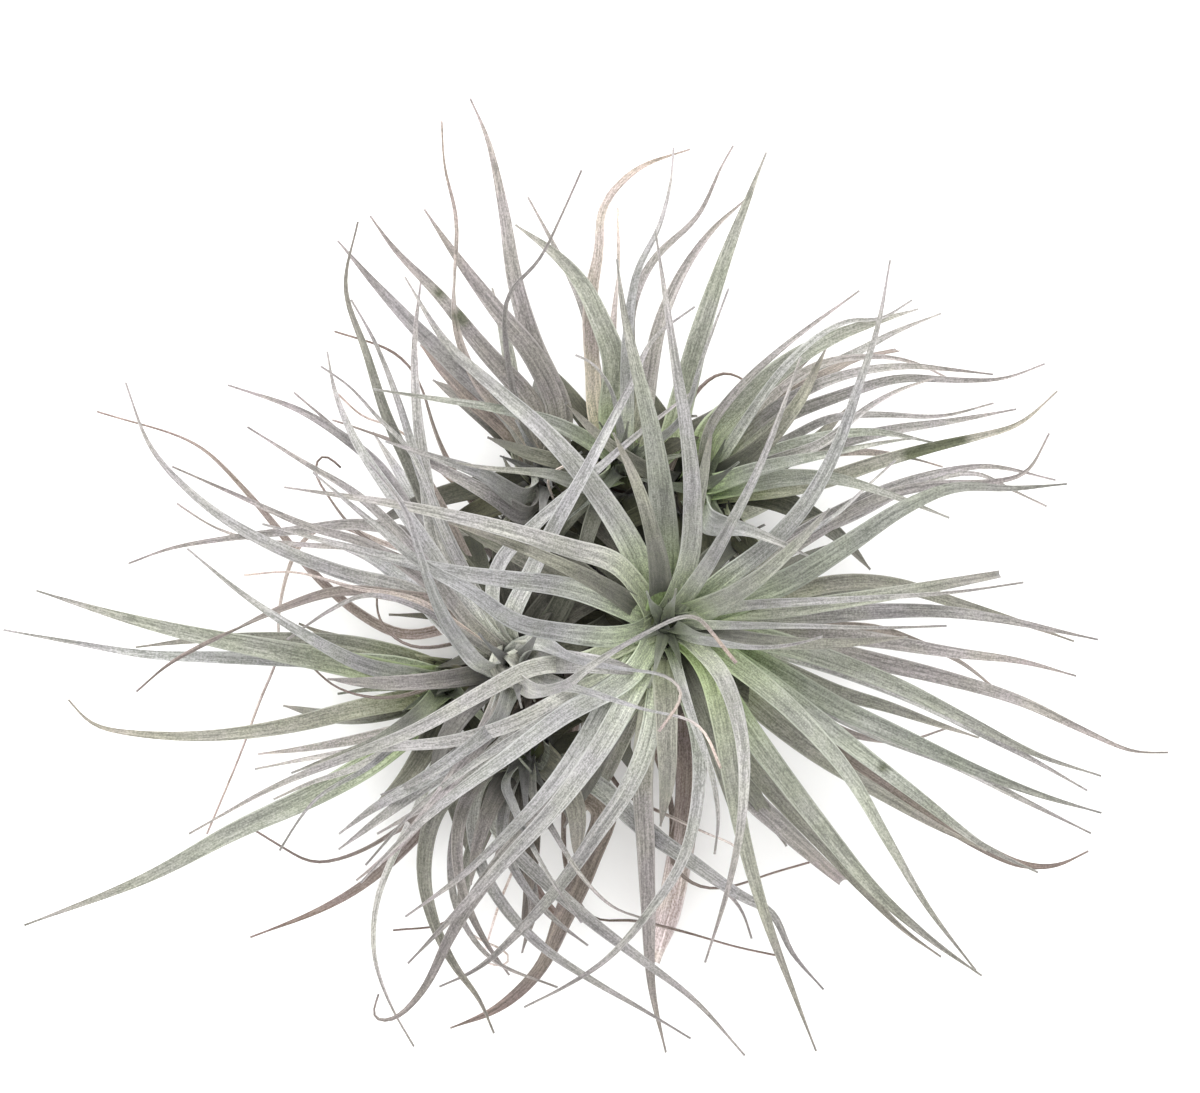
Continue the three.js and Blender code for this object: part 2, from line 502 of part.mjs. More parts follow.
// The leaf, bent in the first way that keeps it clear of all that stands already. Its root may
// cross its own rosette's leaves, and so may the rest of it if no lift keeps it clear of them.
function placedLeaf(leaf, standing) {
  for (const swing of SWINGS) {
    let crossing = null;
    for (const lift of LIFTS) {
      const line = middleLine(leaf, lift, swing);
      const wide = blade(leaf, line, CLEAR);
      const box = wide.boundingBox();
      const near = standing.filter((item) => boxesMeet(item.box, box));
      const isOwn = (item) => item.name === leaf.rosette.name;
      if (near.some((item) => !isOwn(item) && touches(wide, item.solid))) continue;
      const outer = blade(leaf, line, CLEAR, ROOT_SHARE);
      if (!near.some((item) => isOwn(item) && touches(outer, item.solid))) return blade(leaf, line);
      crossing = crossing || line;
    }
    if (crossing) return blade(leaf, crossing);
  }
  return null;
}

function standingItem(name, solid) {
  return { name, solid, box: solid.boundingBox() };
}

function meshFrom(name, solid, color) {
  const { vertProperties, triVerts } = solid.getMesh();
  const geometry = new THREE.BufferGeometry();
  geometry.setAttribute("position", new THREE.BufferAttribute(new Float32Array(vertProperties), 3));
  geometry.setIndex(new THREE.BufferAttribute(new Uint32Array(triVerts), 1));
  geometry.computeVertexNormals();
  const material = new THREE.MeshStandardMaterial({ color, roughness: 0.8, metalness: 0, flatShading: true });
  const mesh = new THREE.Mesh(geometry, material);
  mesh.name = name;
  return mesh;
}

const standing = [standingItem(OLD_STEM.name, bareStem())];
for (const rosette of ROSETTES) standing.push(standingItem(rosette.name, rosetteBase(rosette)));

const leaves = [];
[...ROSETTES, OLD_STEM].forEach((rosette, index) => {
  const seed = 1000 * (index + 1);
  rosette.leaves.forEach((text, i) => leaves.push(leafFrom(text, rosette, seed + i)));
});
leaves.sort((one, other) => LAYER_ORDER.indexOf(one.layer) - LAYER_ORDER.indexOf(other.layer));
ROSETTES.forEach((rosette, index) => leaves.push(...plainLeaves(rosette, 1000 * (index + 1) + 100)));

// A plain leaf that finds no room is left out too.
for (const leaf of leaves) {
  if (LEFT_OUT.includes(leaf.seed)) continue;
  const solid = placedLeaf(leaf, standing);
  if (solid) standing.push(standingItem(leaf.rosette.name, solid));
}

const airPlant = new THREE.Group();
airPlant.name = "air_plant";
for (const { name, colour } of [...ROSETTES, OLD_STEM]) {
  const solids = standing.filter((item) => item.name === name).map((item) => item.solid);
  airPlant.add(meshFrom(name, wholeBody(Manifold.union(solids)), colour));
}

export default airPlant;
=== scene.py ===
# The looks of a clump of silver-leaved air plants: every leaf of the solids made again in full,
# with its channelled blade, its clasping sheath and its silver scales, on a fibrous old stem.
# The tables below are in millimetres, as the solids' own are; Blender's meshes are in metres.

import math

import bpy
import numpy as np
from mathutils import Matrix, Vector
from mathutils.kdtree import KDTree


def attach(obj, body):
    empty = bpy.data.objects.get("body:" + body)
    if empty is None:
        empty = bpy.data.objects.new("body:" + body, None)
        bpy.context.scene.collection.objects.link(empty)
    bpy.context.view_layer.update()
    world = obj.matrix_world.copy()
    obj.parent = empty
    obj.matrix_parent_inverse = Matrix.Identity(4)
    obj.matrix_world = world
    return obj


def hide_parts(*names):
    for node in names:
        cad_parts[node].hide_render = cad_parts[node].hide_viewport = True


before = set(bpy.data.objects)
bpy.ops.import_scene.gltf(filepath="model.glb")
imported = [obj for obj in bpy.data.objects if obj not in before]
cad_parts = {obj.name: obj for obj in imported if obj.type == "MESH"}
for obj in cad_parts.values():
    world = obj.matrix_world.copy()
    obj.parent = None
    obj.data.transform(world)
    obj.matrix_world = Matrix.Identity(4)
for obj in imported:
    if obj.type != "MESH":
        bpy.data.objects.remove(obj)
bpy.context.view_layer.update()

MM = 0.001

# The solids' own values for how a leaf runs, so that each leaf made here lies in its solid.
FLOOR = 2.6              # lowest middle line of a leaf
LEAST_STRETCHES = 3      # straight stretches along the shortest leaf of the solids
STRETCH = 60             # a leaf has one more for each of these
BLUNT_TAPER = 0.55       # how much of its width a leaf with a cut tip loses on its way
END_WIDTH = 0.9          # least width and depth of a leaf of the solids
END_DEPTH = 0.7
DEPTH_SHARE = 0.2        # a living leaf's depth, as a share of its width
DRY_DEPTH = 0.75         # a dry leaf's, whatever its width
BROAD = 1.32             # a leaf's width near its base, as a share of the width given for its middle
GOLDEN = 137.508         # degrees from one leaf of a rosette to the next
ROOT_REACH = 0.7         # where a leaf begins inside its rosette's base, as a share of its radius
YOUNG_SHARE = 0.5        # a young leaf's length, as a share of a full one
SHEATH = 0.1             # how much broader a leaf gets towards its very base
SHEATH_FADE = 4          # how soon that is lost again
CROWDED = 1.15           # above 1, a leaf's stations stand closer towards its base
BEND = 28                # degrees that a plain leaf curves to one side at most
YOUNG_BEND = 5           # the same for a young leaf
LEVEL_SHARE = 0.5        # past this part of its way a leaf lies level from margin to margin
MOST_INSIDE = 0.6        # where it begins at most, as a share of the way to its first traced point
TWIST = 0.25             # radians that a leaf turns about its middle line at most, by its tip
CURL = 2.2               # how early a leaf rises, and how late it sags
LEAST_RISE = 0.35        # of a leaf's length, however far it reaches
MOST_SAG = 0.92          # of its top height
LENGTH_SPREAD = 0.06     # how far a leaf's length, rise and sag stray from the rule, as shares
RISE_SPREAD = 0.1
SAG_SPREAD = 0.15
PLAIN_POINTS = (0.3, 0.65, 1)    # where a plain leaf's arc gets its points, as shares of its way
FILL_WIDTH = (5, 7)
YOUNG_WIDTH = (3.5, 4.5)
FINE_STEPS = 60          # for measuring along a leaf's middle line

# Where the draws start, so that no two of them share their numbers.
SEEDS_APART = 1000       # from one rosette's leaves to the next one's
PLAIN_FROM = 100         # a rosette's first plain leaf
EXTRA_FROM = 300         # and the first of those that only the looks have
BEND_SEED = 500
PLAIN_SEED = 700
STRAP_LOOKS = 3900
LOOKS_SEED = 40000
SCALE_SEED = 81000
SKIRT_SEED = 83000
HEART_SEED = 90000

# By layer: how high a leaf leaves the base, as a share of the base's radius, its rise, and how
# much of its top height it loses again.
LAYERS = {
    "C": (0.6, 0.78, 0.1),
    "T": (0.5, 0.84, 0.24),
    "M": (0.1, 0.56, 0.42),
    "L": (-0.5, 0.27, 0.74),
    "Y": (0.5, 0.8, 0.06),
}
LIFTS = [0, 5, -5, 10, -10, 16, -16, 23, -23, 31, -31, 40, -40, 50]
SWINGS = [0, 2, -2, 4, -4, 7, -7]

# Each leaf has a line: layer, tone, width, then its middle line as seen from above, x,y from base
# to tip.
# Tones: s silver, g green, o olive, p mauve, b brown and dry, k pink and dry, w pale and dry.
# A capital tone marks a leaf with its tip cut or broken off.
ROSETTES = [
    {
        "name": "rosette_centre", "at": [21, -8, 72], "lean": [4, 0], "base": 10, "length": 186,
        "slot": "leaf_silver", "green": 1.0,
        "fill": {"count": 15, "reach": [60, 104], "layers": "LLM", "turn": 20},
        "young": {"count": 5, "reach": [12, 34], "turn": 70},
        "leaves": """
T s 6 29,15 30,35 28,55 25,72 22,92 18,120
T g 8.5 21,15 20,35 17,55 12,75 8,92 5.5,111
M s 7 10,18 -3,38 -18,55 -35,70 -50,84 -64,106
T s 6 5,12 -10,17 -30,23 -50,28 -70,32 -103,37
T s 6 -10,4 -30,7 -45,9 -60,12 -80,17 -110,25
T s 6 5,-12 -12,-11 -28,-8 -42,1 -58,9 -72,20 -95,38
T s 5 8,-22 -10,-30 -30,-39 -50,-44 -70,-45 -90,-47 -115,-51
T s 6 8,-24 -15,-34 -35,-45 -55,-56 -70,-66 -87,-80
M s 6 10,-20 -5,-27 -25,-38 -45,-52 -60,-62 -78,-71
M s 3 5,-25 -20,-40 -45,-56 -60,-68 -77,-87
C s 5 -5,-20 -22,-22 -40,-31 -60,-42 -80,-50 -105,-60 -134,-76
M p 6 15,-25 5,-40 -8,-57 -22,-73 -36,-90 -48,-108 -58,-128 -68,-138 -75,-138 -73,-130
M s 5 5,-28 -5,-45 -17,-62 -30,-76 -45,-90 -64,-104
M s 6.5 10,-30 0,-48 -15,-68 -30,-84 -45,-100 -63,-119
M s 5.5 16,-45 9,-62 0,-75 -12,-92 -25,-107 -40,-121 -53,-127.5
M s 4 26,-25 32,-45 32,-65 27,-85 16,-102 3,-117 -10,-126 -25,-134
M s 3 30,-38 36,-55 38.5,-70 37.5,-83
T g 6 27,-12 35,-22 40,-40 43,-58 47,-78 54,-103 62,-125 70.5,-147
T s 5 30,-14 40,-25 46,-45 46,-68 42,-90 34,-117
M g 6.5 35,-22 47,-40 60,-58 74,-76 90,-95 108,-111 126,-124
L o 5 45.5,-49.5 58.6,-65.4 72.7,-80.3 86.6,-95.4 100.6,-109.4 113.6,-119
T g 6 34,-14 50,-25 65,-38 80,-55 93,-77 106,-99 122,-120
L P 6.5 34,-35 47,-62 60,-75 72,-86 81,-94
M g 6 36,-15 52,-25 70,-38 88,-52 105.5,-65.2 125.5,-80.3 144,-89.5
L b 6.5 50,-30 70,-45 88,-58 108,-71 128,-83 140,-88 152,-88.5 163,-84
M g 6.5 36,-13 55,-22 78,-35 100,-45 122,-55 145,-64 165,-70
M s 5 40,-16 65,-30 90,-43 115,-53 138,-65 162,-77
T g 6.5 38,-10 55,-13 75,-19 98,-28 120,-39 142,-50 163,-57
M s 5 50,-14 80,-23 105,-33 130,-46 147,-55 161,-63
M p 5.5 45,-12 65,-14.6 90,-20 115,-26 138,-33 160,-43.2 176,-50 188,-50.5
M p 5.5 45,-8 65,-10 90,-13 115,-17 138,-20 157,-25
L b 2.5 60,-9 90,-9 105,-14 120,-21 135,-32 150,-38
T s 2.5 45,-8 65,-8 90,-8.5 112,-8
M p 5.5 45,-4 65,-5 90,-3.5 110,-3.5 130,-6 148,-9.6 164,-13
L o 5 45,-1 60,2 80,6 98,5 118,-1 138,-7 158,-14
M G 5 40,-4 60,-3 80,0 105,4 131,8.5
T s 3 45,-2 70,0 95,1.5 115,3 137,6
L o 5 60,-22.6 78,-30.2 95,-35.2 112,-41.2 126,-46
L b 3 70,-38 85,-45 100,-47 115,-43
T g 7.5 32,-5 45,0 62,7 80,18 98,30 115,37 133,36.5 152,38
M p 4.5 40,3 60,18 78,29 95,37 112,42 128,44 150,39.5
T s 5.5 30,-2 42,8 56,19 68,33 77,50 84,70 90,88 94.5,111
T s 4.5 28,1 36,13 44,28 51,42 57,57 65,79
M p 4.5 45,5 70,22 95,35 112,38 130,39 140,42 148,55
T s 3 30,-12 50,-15 62,-14 72,-11.5
L o 6 40,-24 55,-38 72,-51 90,-62 112,-75 128,-83
M s 2.2 50,8 65,20 77,28 88,38 97,46
M g 7 40,0 52,8 63,18 75,30
L p 6 14,-55 15,-80 16,-105 17,-128 22,-151
L o 7 22,-45 22,-60 20,-75
T k 3.5 22,-2 28,-3 34,-6 39,-12 44,-20
L o 6 12,-34 6,-48 1,-60 -6,-72
L B 4 30,-30 33,-50 33,-62 32,-74""",
    },
    {
        "name": "rosette_left", "at": [-28, -22, 61], "lean": [-3, 1], "base": 9, "length": 176,
        "slot": "leaf_silver", "green": 0.25,
        "fill": {"count": 10, "reach": [40, 70], "layers": "L", "turn": 55},
        "young": {"count": 3, "reach": [10, 26], "turn": 140},
        "leaves": """
M s 4.5 -35,-2 -33,12 -20,26 -5,39 12,54 31,69
M s 5 -30,-8 -24,6 -15,24 -6,40 3,57 10,70 17,85 31,96
C k 3.5 -22,-13 -8,-19 8,-22 21,-24 27,-29 19,-42
C k 3 -20,-26 -3,-30 14,-35 32,-40 39,-54
M s 5 -38,-10 -48,4 -58,20 -70,37 -80,52 -87,68 -90,82
M s 5 -36,-10 -46,4 -54,20 -57,40 -60,62 -61,85 -59,107
M o 4.5 -42,5 -54,25 -63,45 -70,60 -77,82 -84,103 -80,125
M s 4 -45,10 -58,40 -66,65 -74,85 -82,99
M s 2.5 -50,20 -62,49 -72,59 -82,70 -92,77
M p 5 -45,0 -58,20 -72,43 -85,54 -100,63 -123,71
L p 3 -50,8 -70,38 -88,57 -102,69
L b 4 -55,35 -65,50 -80,57 -89,60
M p 4 -45,-5 -62,18 -80,35 -95,44 -116,57
M p 3.5 -50,0 -75,18 -95,24 -118,34 -141,44
M s 4.5 -45,-12 -60,2 -85,9 -112,20 -132,33 -148,50 -157,72
M p 4 -60,20 -78,25 -100,23 -125,20 -142,17 -156,12
L p 2.2 -70,15 -95,18 -115,20 -128,24 -141,32
M b 4 -50,-2 -65,1 -85,3 -105,-3 -125,-12 -142,-21 -153,-30
M k 2 -60,0 -80,4 -100,9 -117,8
T s 5 -38,-22 -48,-10 -53,0 -58,15 -63,30 -75,45
M p 2.2 -60,-2 -76,2 -88,-3 -103,-13
L s 6 -42,2 -58,28 -68,44 -76,56
L s 6 -44,-14 -62,4 -74,13 -88,18""",
    },
    {
        "name": "rosette_upper_right", "at": [33, 36, 46], "lean": [5, 5], "base": 9, "length": 158,
        "slot": "leaf_green", "green": 0.9,
        "fill": {"count": 10, "reach": [42, 76], "layers": "LLM", "turn": 10},
        "young": {"count": 3, "reach": [14, 30], "turn": 35},
        "leaves": """
M p 3 36,56 46,70 60,83 85.5,102
M g 8 36,54 48,66 62,78 78,87 92,92 105,96
M s 3 60,76 72,87 82,92 92,92.5 103,99
L s 4 45,58 65,72 85,82 98,89 114,95.5
L B 4 50,58 70,72 86,80 99,83
M p 4 45,52 62,66 80,74 100,77 115,76 130,74.5
L p 3 50,60 70,77 88,80.5 103,79 115,74
M p 4 42,48 58,59 78,67 98,73 118,72.5 133,73 147,78
M p 4 55,45 74,52 86,62 98,69 110,73
M p 3 45,44 62,53 76,60 92,61 112,60.5 130,65
L p 4 50,44 75,51 95,56 118,59.5 139,63.5
M o 5 50,36 72,39 90,45 108,50 125,54 138,58 151,69
M g 4.5 40,41 55,48 72,53.5 90,55.5 110,52
T g 5 38,38 55,44 75,48 95,52 103,53
L b 3 60,45 80,49 98,48 114,44
T g 6 42,37 58,40 75,40 90,36 114,27
T s 7.5 36,26 48,23 58,19 68,14.5
L p 3 55,20 80,26 105,38 125,42 136,37 149,31
L o 8 42,30 55,34 65,38
L o 8 39,26 46,18 56,12""",
    },
    {
        "name": "rosette_upper", "at": [8, 44, 50], "lean": [0, 5], "base": 9, "length": 150,
        "slot": "leaf_green", "green": 0.6,
        "fill": {"count": 11, "reach": [38, 64], "layers": "L", "turn": 75},
        "young": {"count": 3, "reach": [14, 30], "turn": 90},
        "leaves": """
M g 8 4,62 5,78 0,92 -6,104 -15,114 -28,124
M k 5 -1,60 -3,80 -3,100 0,115 1,129 12,142 30,149
L k 3 3,60 4,85 6,110 6,130
T s 4 9,65 9,85 12,107 19,121 23,136 24,148
M p 3.5 11,70 10.2,95 17.6,112 32,126 40,143 44,150
M p 5 14,60 17,78 20,92 27,108 37,122 49,133
M g 7 22,50 27,66 33,88 41,112 49,133 55,148
T s 2.5 27,60 33,78 42,102
L p 3 0,70 -5,95 -15,117 -24,134
T s 2.5 6,60 3,70 -2,77 -8,80
T g 4.5 0,50 -15,58 -35,63 -55,66 -74,69
T g 5.5 -3,38 -18,41.5 -36,43 -47,45
M k 1.2 -3,45 -12,44 -17,40 -15,33""",
    },
    {
        "name": "rosette_upper_left", "at": [-17, 40, 44], "lean": [-4, 4], "base": 8.5, "length": 150,
        "slot": "leaf_silver", "green": 0.4,
        "fill": {"count": 10, "reach": [38, 64], "layers": "L", "turn": 130},
        "young": {"count": 3, "reach": [14, 30], "turn": 120},
        "leaves": """
M p 6.5 -28,60 -45,75 -60,89 -73,103 -87,119
M p 6 -22.3,63.7 -38.3,82.6 -52.3,99.6 -67,114.7 -76,127
M p 7.5 -13.6,62 -21.6,80.2 -34.6,96.2 -46.7,112.2 -58,129
M p 6 -14,65 -22,85 -28,105 -32,130 -37,152 -43,166
T k 3 -25,55 -38,68 -46,85 -48,98 -47,125 -51,142 -52,157
T p 2 -26,60 -31,85 -30,100 -20,111 -13,125 -6,141
L o 5 -25,45 -28,60 -30,80 -36,104
L b 6 -24,50 -33,58 -45,69 -60,85
T s 6 -26,34 -38,41 -55,47 -70,52
M p 6 -24,28 -35,34 -50,42 -66,50
L o 6 -35,20 -50,24 -65,33""",
    },
    {
        "name": "rosette_far_left", "at": [-50, -28, 36], "lean": [-6, -1], "base": 8, "length": 160,
        "slot": "leaf_green", "green": 0.8,
        "fill": {"count": 7, "reach": [34, 62], "layers": "L", "turn": 160},
        "young": {"count": 2, "reach": [20, 40], "turn": 180},
        "leaves": """
M g 7 -60,-27 -85,-21 -110,-16 -135,-11 -160,-5 -187,3
M s 4.5 -65,-22 -95,-20 -125,-19 -150,-18 -175,-14 -198,-10
L o 5 -60,-21 -80,-15 -105,-13 -130,-13 -155,-16
L o 8 -60,-24 -78,-19 -95,-17 -120,-14
T s 5 -62,-25 -78,-21 -95,-12 -115,1 -135,17
M o 5.2 -60,-32 -80,-36 -105,-42 -130,-45 -155,-44 -168,-41 -176,-33
M g 6.8 -58,-38 -75,-53 -95,-64.6 -120,-76 -150,-92 -191,-108
M s 3 -60,-42 -80,-55 -95,-60 -108,-66
T s 2.5 -62,-42 -75,-54 -92,-64 -98,-71 -105,-82
T g 5 -60,-38 -72,-46 -86,-52 -100,-58
L p 3.5 -58,-40 -75,-45 -95,-49 -114,-51.5
L s 2.5 -54,-52 -62,-72 -68,-84 -74,-100 -75,-118 -70,-134 -62,-149""",
    },
    {
        "name": "rosette_lower", "at": [-25, -50, 40], "lean": [0, -5], "base": 8.5, "length": 158,
        "slot": "leaf_silver", "green": 0.4,
        "fill": {"count": 8, "reach": [30, 54], "layers": "L", "turn": 265},
        "young": {"count": 3, "reach": [14, 32], "turn": 270},
        "leaves": """
M o 5.5 -44,-60 -54,-70 -58,-88 -55,-105 -48,-120 -40,-131 -35,-143
M s 3 -42,-62 -48,-78 -49,-92 -47,-102 -36,-118 -14,-128
M s 4 -39,-60 -42,-72 -39,-88 -30,-103 -18,-115 -3,-125 14,-135 30,-145
M s 4.5 -34,-61 -36,-70 -30,-81 -18,-93 -3,-106 14,-119 32,-133 48,-151
T s 3 -31,-60 -28,-68 -21,-82 -13,-95 -6,-105
T s 2.5 -22,-58 -22,-64 -15,-76 -6,-90 4,-100 14,-104
M s 5.5 -15,-54 0,-62 14,-75 30.5,-86.4 46.4,-97.4 57,-103 63,-116 74,-129
L s 3 -10,-56 8,-68 25,-82 40,-95 47,-103 50.5,-113
L b 8 -16,-60 2,-68 -4,-87 -12,-104 -20,-122 -34,-136 -50,-143
L o 8 -14,-58 -8,-68 -8,-86""",
    },
]

OLD_STEM = {
    "name": "old_stem", "at": [0, 0, 14], "base": 20, "length": 150,
    "slot": "dry_stem", "green": 0.0,
    "leaves": """
L b 3 -45,-8 -65,-12 -80,-5 -95,8 -108,24 -120,38 -135,52 -168,63
M k 1.6 -70,18 -90,25 -100,18 -107,-5 -107,-18 -113,-33 -120,-52 -131,-78
M b 1.8 -60,-16 -70,-11 -74,-4 -74,3
M b 1.8 -62,-31 -75,-32.5 -88,-29 -95,-23
M b 2.5 -40,30 -50,45 -55,57 -60,73 -68,82 -88,89
M k 1.4 -50,40 -68,57 -78,60 -87,68
M b 2.5 -60,12 -80,22 -90,34 -95,43 -92,49 -86,44
L b 2.5 -40,-50 -58,-68 -68,-77 -82,-85 -96,-88 -106,-83 -116,-77
L b 5.5 -36,-46 -48,-62 -60,-77 -75,-92 -92,-103 -117,-113
L W 7 26,-30 29,-50 28,-75 24,-98 18,-121
L b 2 24,-70 24,-88 33,-96 44,-96 56,-92 70,-88
M w 1.6 0,-50 8,-64 22,-71 35,-77 46,-82 52,-92
L b 1.6 -12,-70 -10,-95 -2,-107 10,-107 28,-111 45,-116 59,-119
L w 4 -24,-66 -28,-88 -33,-100 -38,-117
L w 1.6 -45,-90 -47,-108 -38,-115 -30,-118 -31,-123 -38,-121
L b 1.6 -40,-85 -50,-107 -69,-110.5
L B 5 -14,-50 -27,-82 -22,-96 -14,-106
M b 2.5 26,50 30,66 36,73 42,75.5 52,70""",
}


# A rosette's base, as shares of its radius: radius, height.
BASE_PROFILE = [(0, -1.5), (0.55, -1.4), (0.9, -0.7), (1, 0), (0.8, 0.8), (0.4, 1.2), (0, 1.25)]
FOOT = [(26, 0), (27, 3), (24, 9), (17, 16), (8, 21)]
BRANCH_RADIUS = 5.5
BRANCH_FROM = 12

# Colours of a leaf by tone, as 0 to 255: at its base, along its middle, at its tip.
TONES = {
    "s": ((136, 138, 127), (155, 155, 152), (152, 148, 145)),
    "g": ((124, 134, 103), (146, 149, 138), (148, 146, 140)),
    "o": ((96, 95, 80), (131, 131, 121), (140, 135, 126)),
    "p": ((120, 118, 112), (144, 141, 138), (146, 139, 135)),
    "b": ((98, 89, 82), (127, 119, 112), (125, 112, 105)),
    "k": ((140, 132, 126), (170, 161, 154), (178, 164, 154)),
    "w": ((128, 119, 112), (217, 209, 203), (226, 218, 213)),
}

# Marks on single leaves, seen from above: x, y, radius.
BLEMISHES = [(-46, 93, 3.2), (-53, 101, 1.6), (93, -55, 2), (103, 48, 3.5), (108, 49.5, 3.5),
             (113, 51, 3.5), (118, 52.5, 3)]
BLEMISH = (66, 71, 46)


def clamp(value, low=0.0, high=1.0):
    return np.minimum(np.maximum(value, low), high)


def smooth(low, high, value):
    share = clamp((value - low) / (high - low))
    return share * share * (3 - 2 * share)


def mix(start, end, share):
    return start + (end - start) * share


def linear(rgb):
    """A colour of 0 to 255 as light."""
    c = np.asarray(rgb, float) / 255
    return np.where(c <= 0.04045, c / 12.92, ((c + 0.055) / 1.055) ** 2.4)


def unit(v):
    return v / np.maximum(np.linalg.norm(v, axis=-1, keepdims=True), 1e-12)


def run_along(path):
    """How far each point of a path is from its start, along it."""
    return np.concatenate([[0], np.cumsum(np.linalg.norm(np.diff(path, axis=0), axis=1))])


def strayed(spread, random):
    return mix(1 - spread, 1 + spread, random())


def random_from(seed):
    """The solids' own numbers from 0 to 1, the same on every run."""
    whole = 0xFFFFFFFF
    state = seed & whole

    def draw():
        nonlocal state
        state = (state + 0x6D2B79F5) & whole
        mixed = ((state ^ (state >> 15)) * (state | 1)) & whole
        mixed ^= (mixed + (mixed ^ (mixed >> 7)) * (mixed | 61)) & whole
        return ((mixed ^ (mixed >> 14)) & whole) / (whole + 1)

    return draw


def spline(points, steps):
    """A centripetal curve through the points, with its ends carried on straight."""
    p = np.asarray(points, float)
    p = np.vstack([2 * p[0] - p[1], p, 2 * p[-1] - p[-2]])
    spans = len(p) - 3
    places = []
    for step in range(steps + 1):
        at = spans * step / steps
        i = min(int(at), spans - 1)
        w = at - i
        p0, p1, p2, p3 = p[i:i + 4]
        pairs = (p0, p1), (p1, p2), (p2, p3)
        d0, d1, d2 = (max(np.sum((b - a) ** 2), 1e-16) ** 0.25 for a, b in pairs)
        t1 = ((p1 - p0) / d0 - (p2 - p0) / (d0 + d1) + (p2 - p1) / d1) * d1
        t2 = ((p2 - p1) / d1 - (p3 - p1) / (d1 + d2) + (p3 - p2) / d2) * d1
        places.append(p1 + t1 * w + (3 * (p2 - p1) - 2 * t1 - t2) * w ** 2
                      + (2 * (p1 - p2) + t1 + t2) * w ** 3)
    return np.array(places)


def leaf_from(text, rosette, seed):
    layer, tone, width, *places = text.split(" ")
    points = [tuple(map(float, place.split(","))) for place in places]
    taper = 1 if tone == tone.lower() else BLUNT_TAPER
    return {"rosette": rosette, "layer": layer, "tone": tone.lower(), "dry": tone in "bkwBW",
            "taper": taper, "width": float(width), "share": 1, "points": points, "seed": seed,
            "deep": False}


def leaves_from(table, rosette, seed):
    return [leaf_from(text, rosette, seed + i) for i, text in enumerate(table.strip().split("\n"))]


def plain_leaves(rosette, seed):
    """The leaves that follow the rule: lower ones all round, and young ones in the middle."""
    leaves = []
    kinds = ("fill", 1, BEND, FILL_WIDTH), ("young", YOUNG_SHARE, YOUNG_BEND, YOUNG_WIDTH)
    for kind, share, most, widths in kinds:
        rule = rosette[kind]
        layers = rule.get("layers", "Y")
        for i in range(rule["count"]):
            own = seed + len(leaves)
            random = random_from(own + PLAIN_SEED)
            reach = mix(*rule["reach"], random())
            width = mix(*widths, random())
            bend = mix(-most, most, random_from(own + BEND_SEED)())
            points = []
            for way in PLAIN_POINTS:
                turned = math.radians(rule["turn"] + GOLDEN * i + bend * way)
                out = mix(ROOT_REACH * rosette["base"], reach, way)
                points.append((rosette["at"][0] + out * math.cos(turned),
                               rosette["at"][1] + out * math.sin(turned)))
            inner, outer = ("s", "p") if rosette["green"] < 0.5 else ("g", "o")
            tone = outer if kind == "fill" else inner
            leaves.append({"rosette": rosette, "layer": layers[i % len(layers)], "tone": tone,
                           "dry": False, "taper": 1, "width": width, "share": share,
                           "points": points, "seed": own, "deep": kind == "fill"})
    return leaves


LEAST_FOUND = 1      # a leaf is in the solids if more than this many of its corners are
FOUND_WITHIN = 0.1
NEARBY = 0.02        # for measuring which way a leaf runs, as a share of its way


def sheath_share(share):
    return 1 + SHEATH * (1 - share) ** SHEATH_FADE


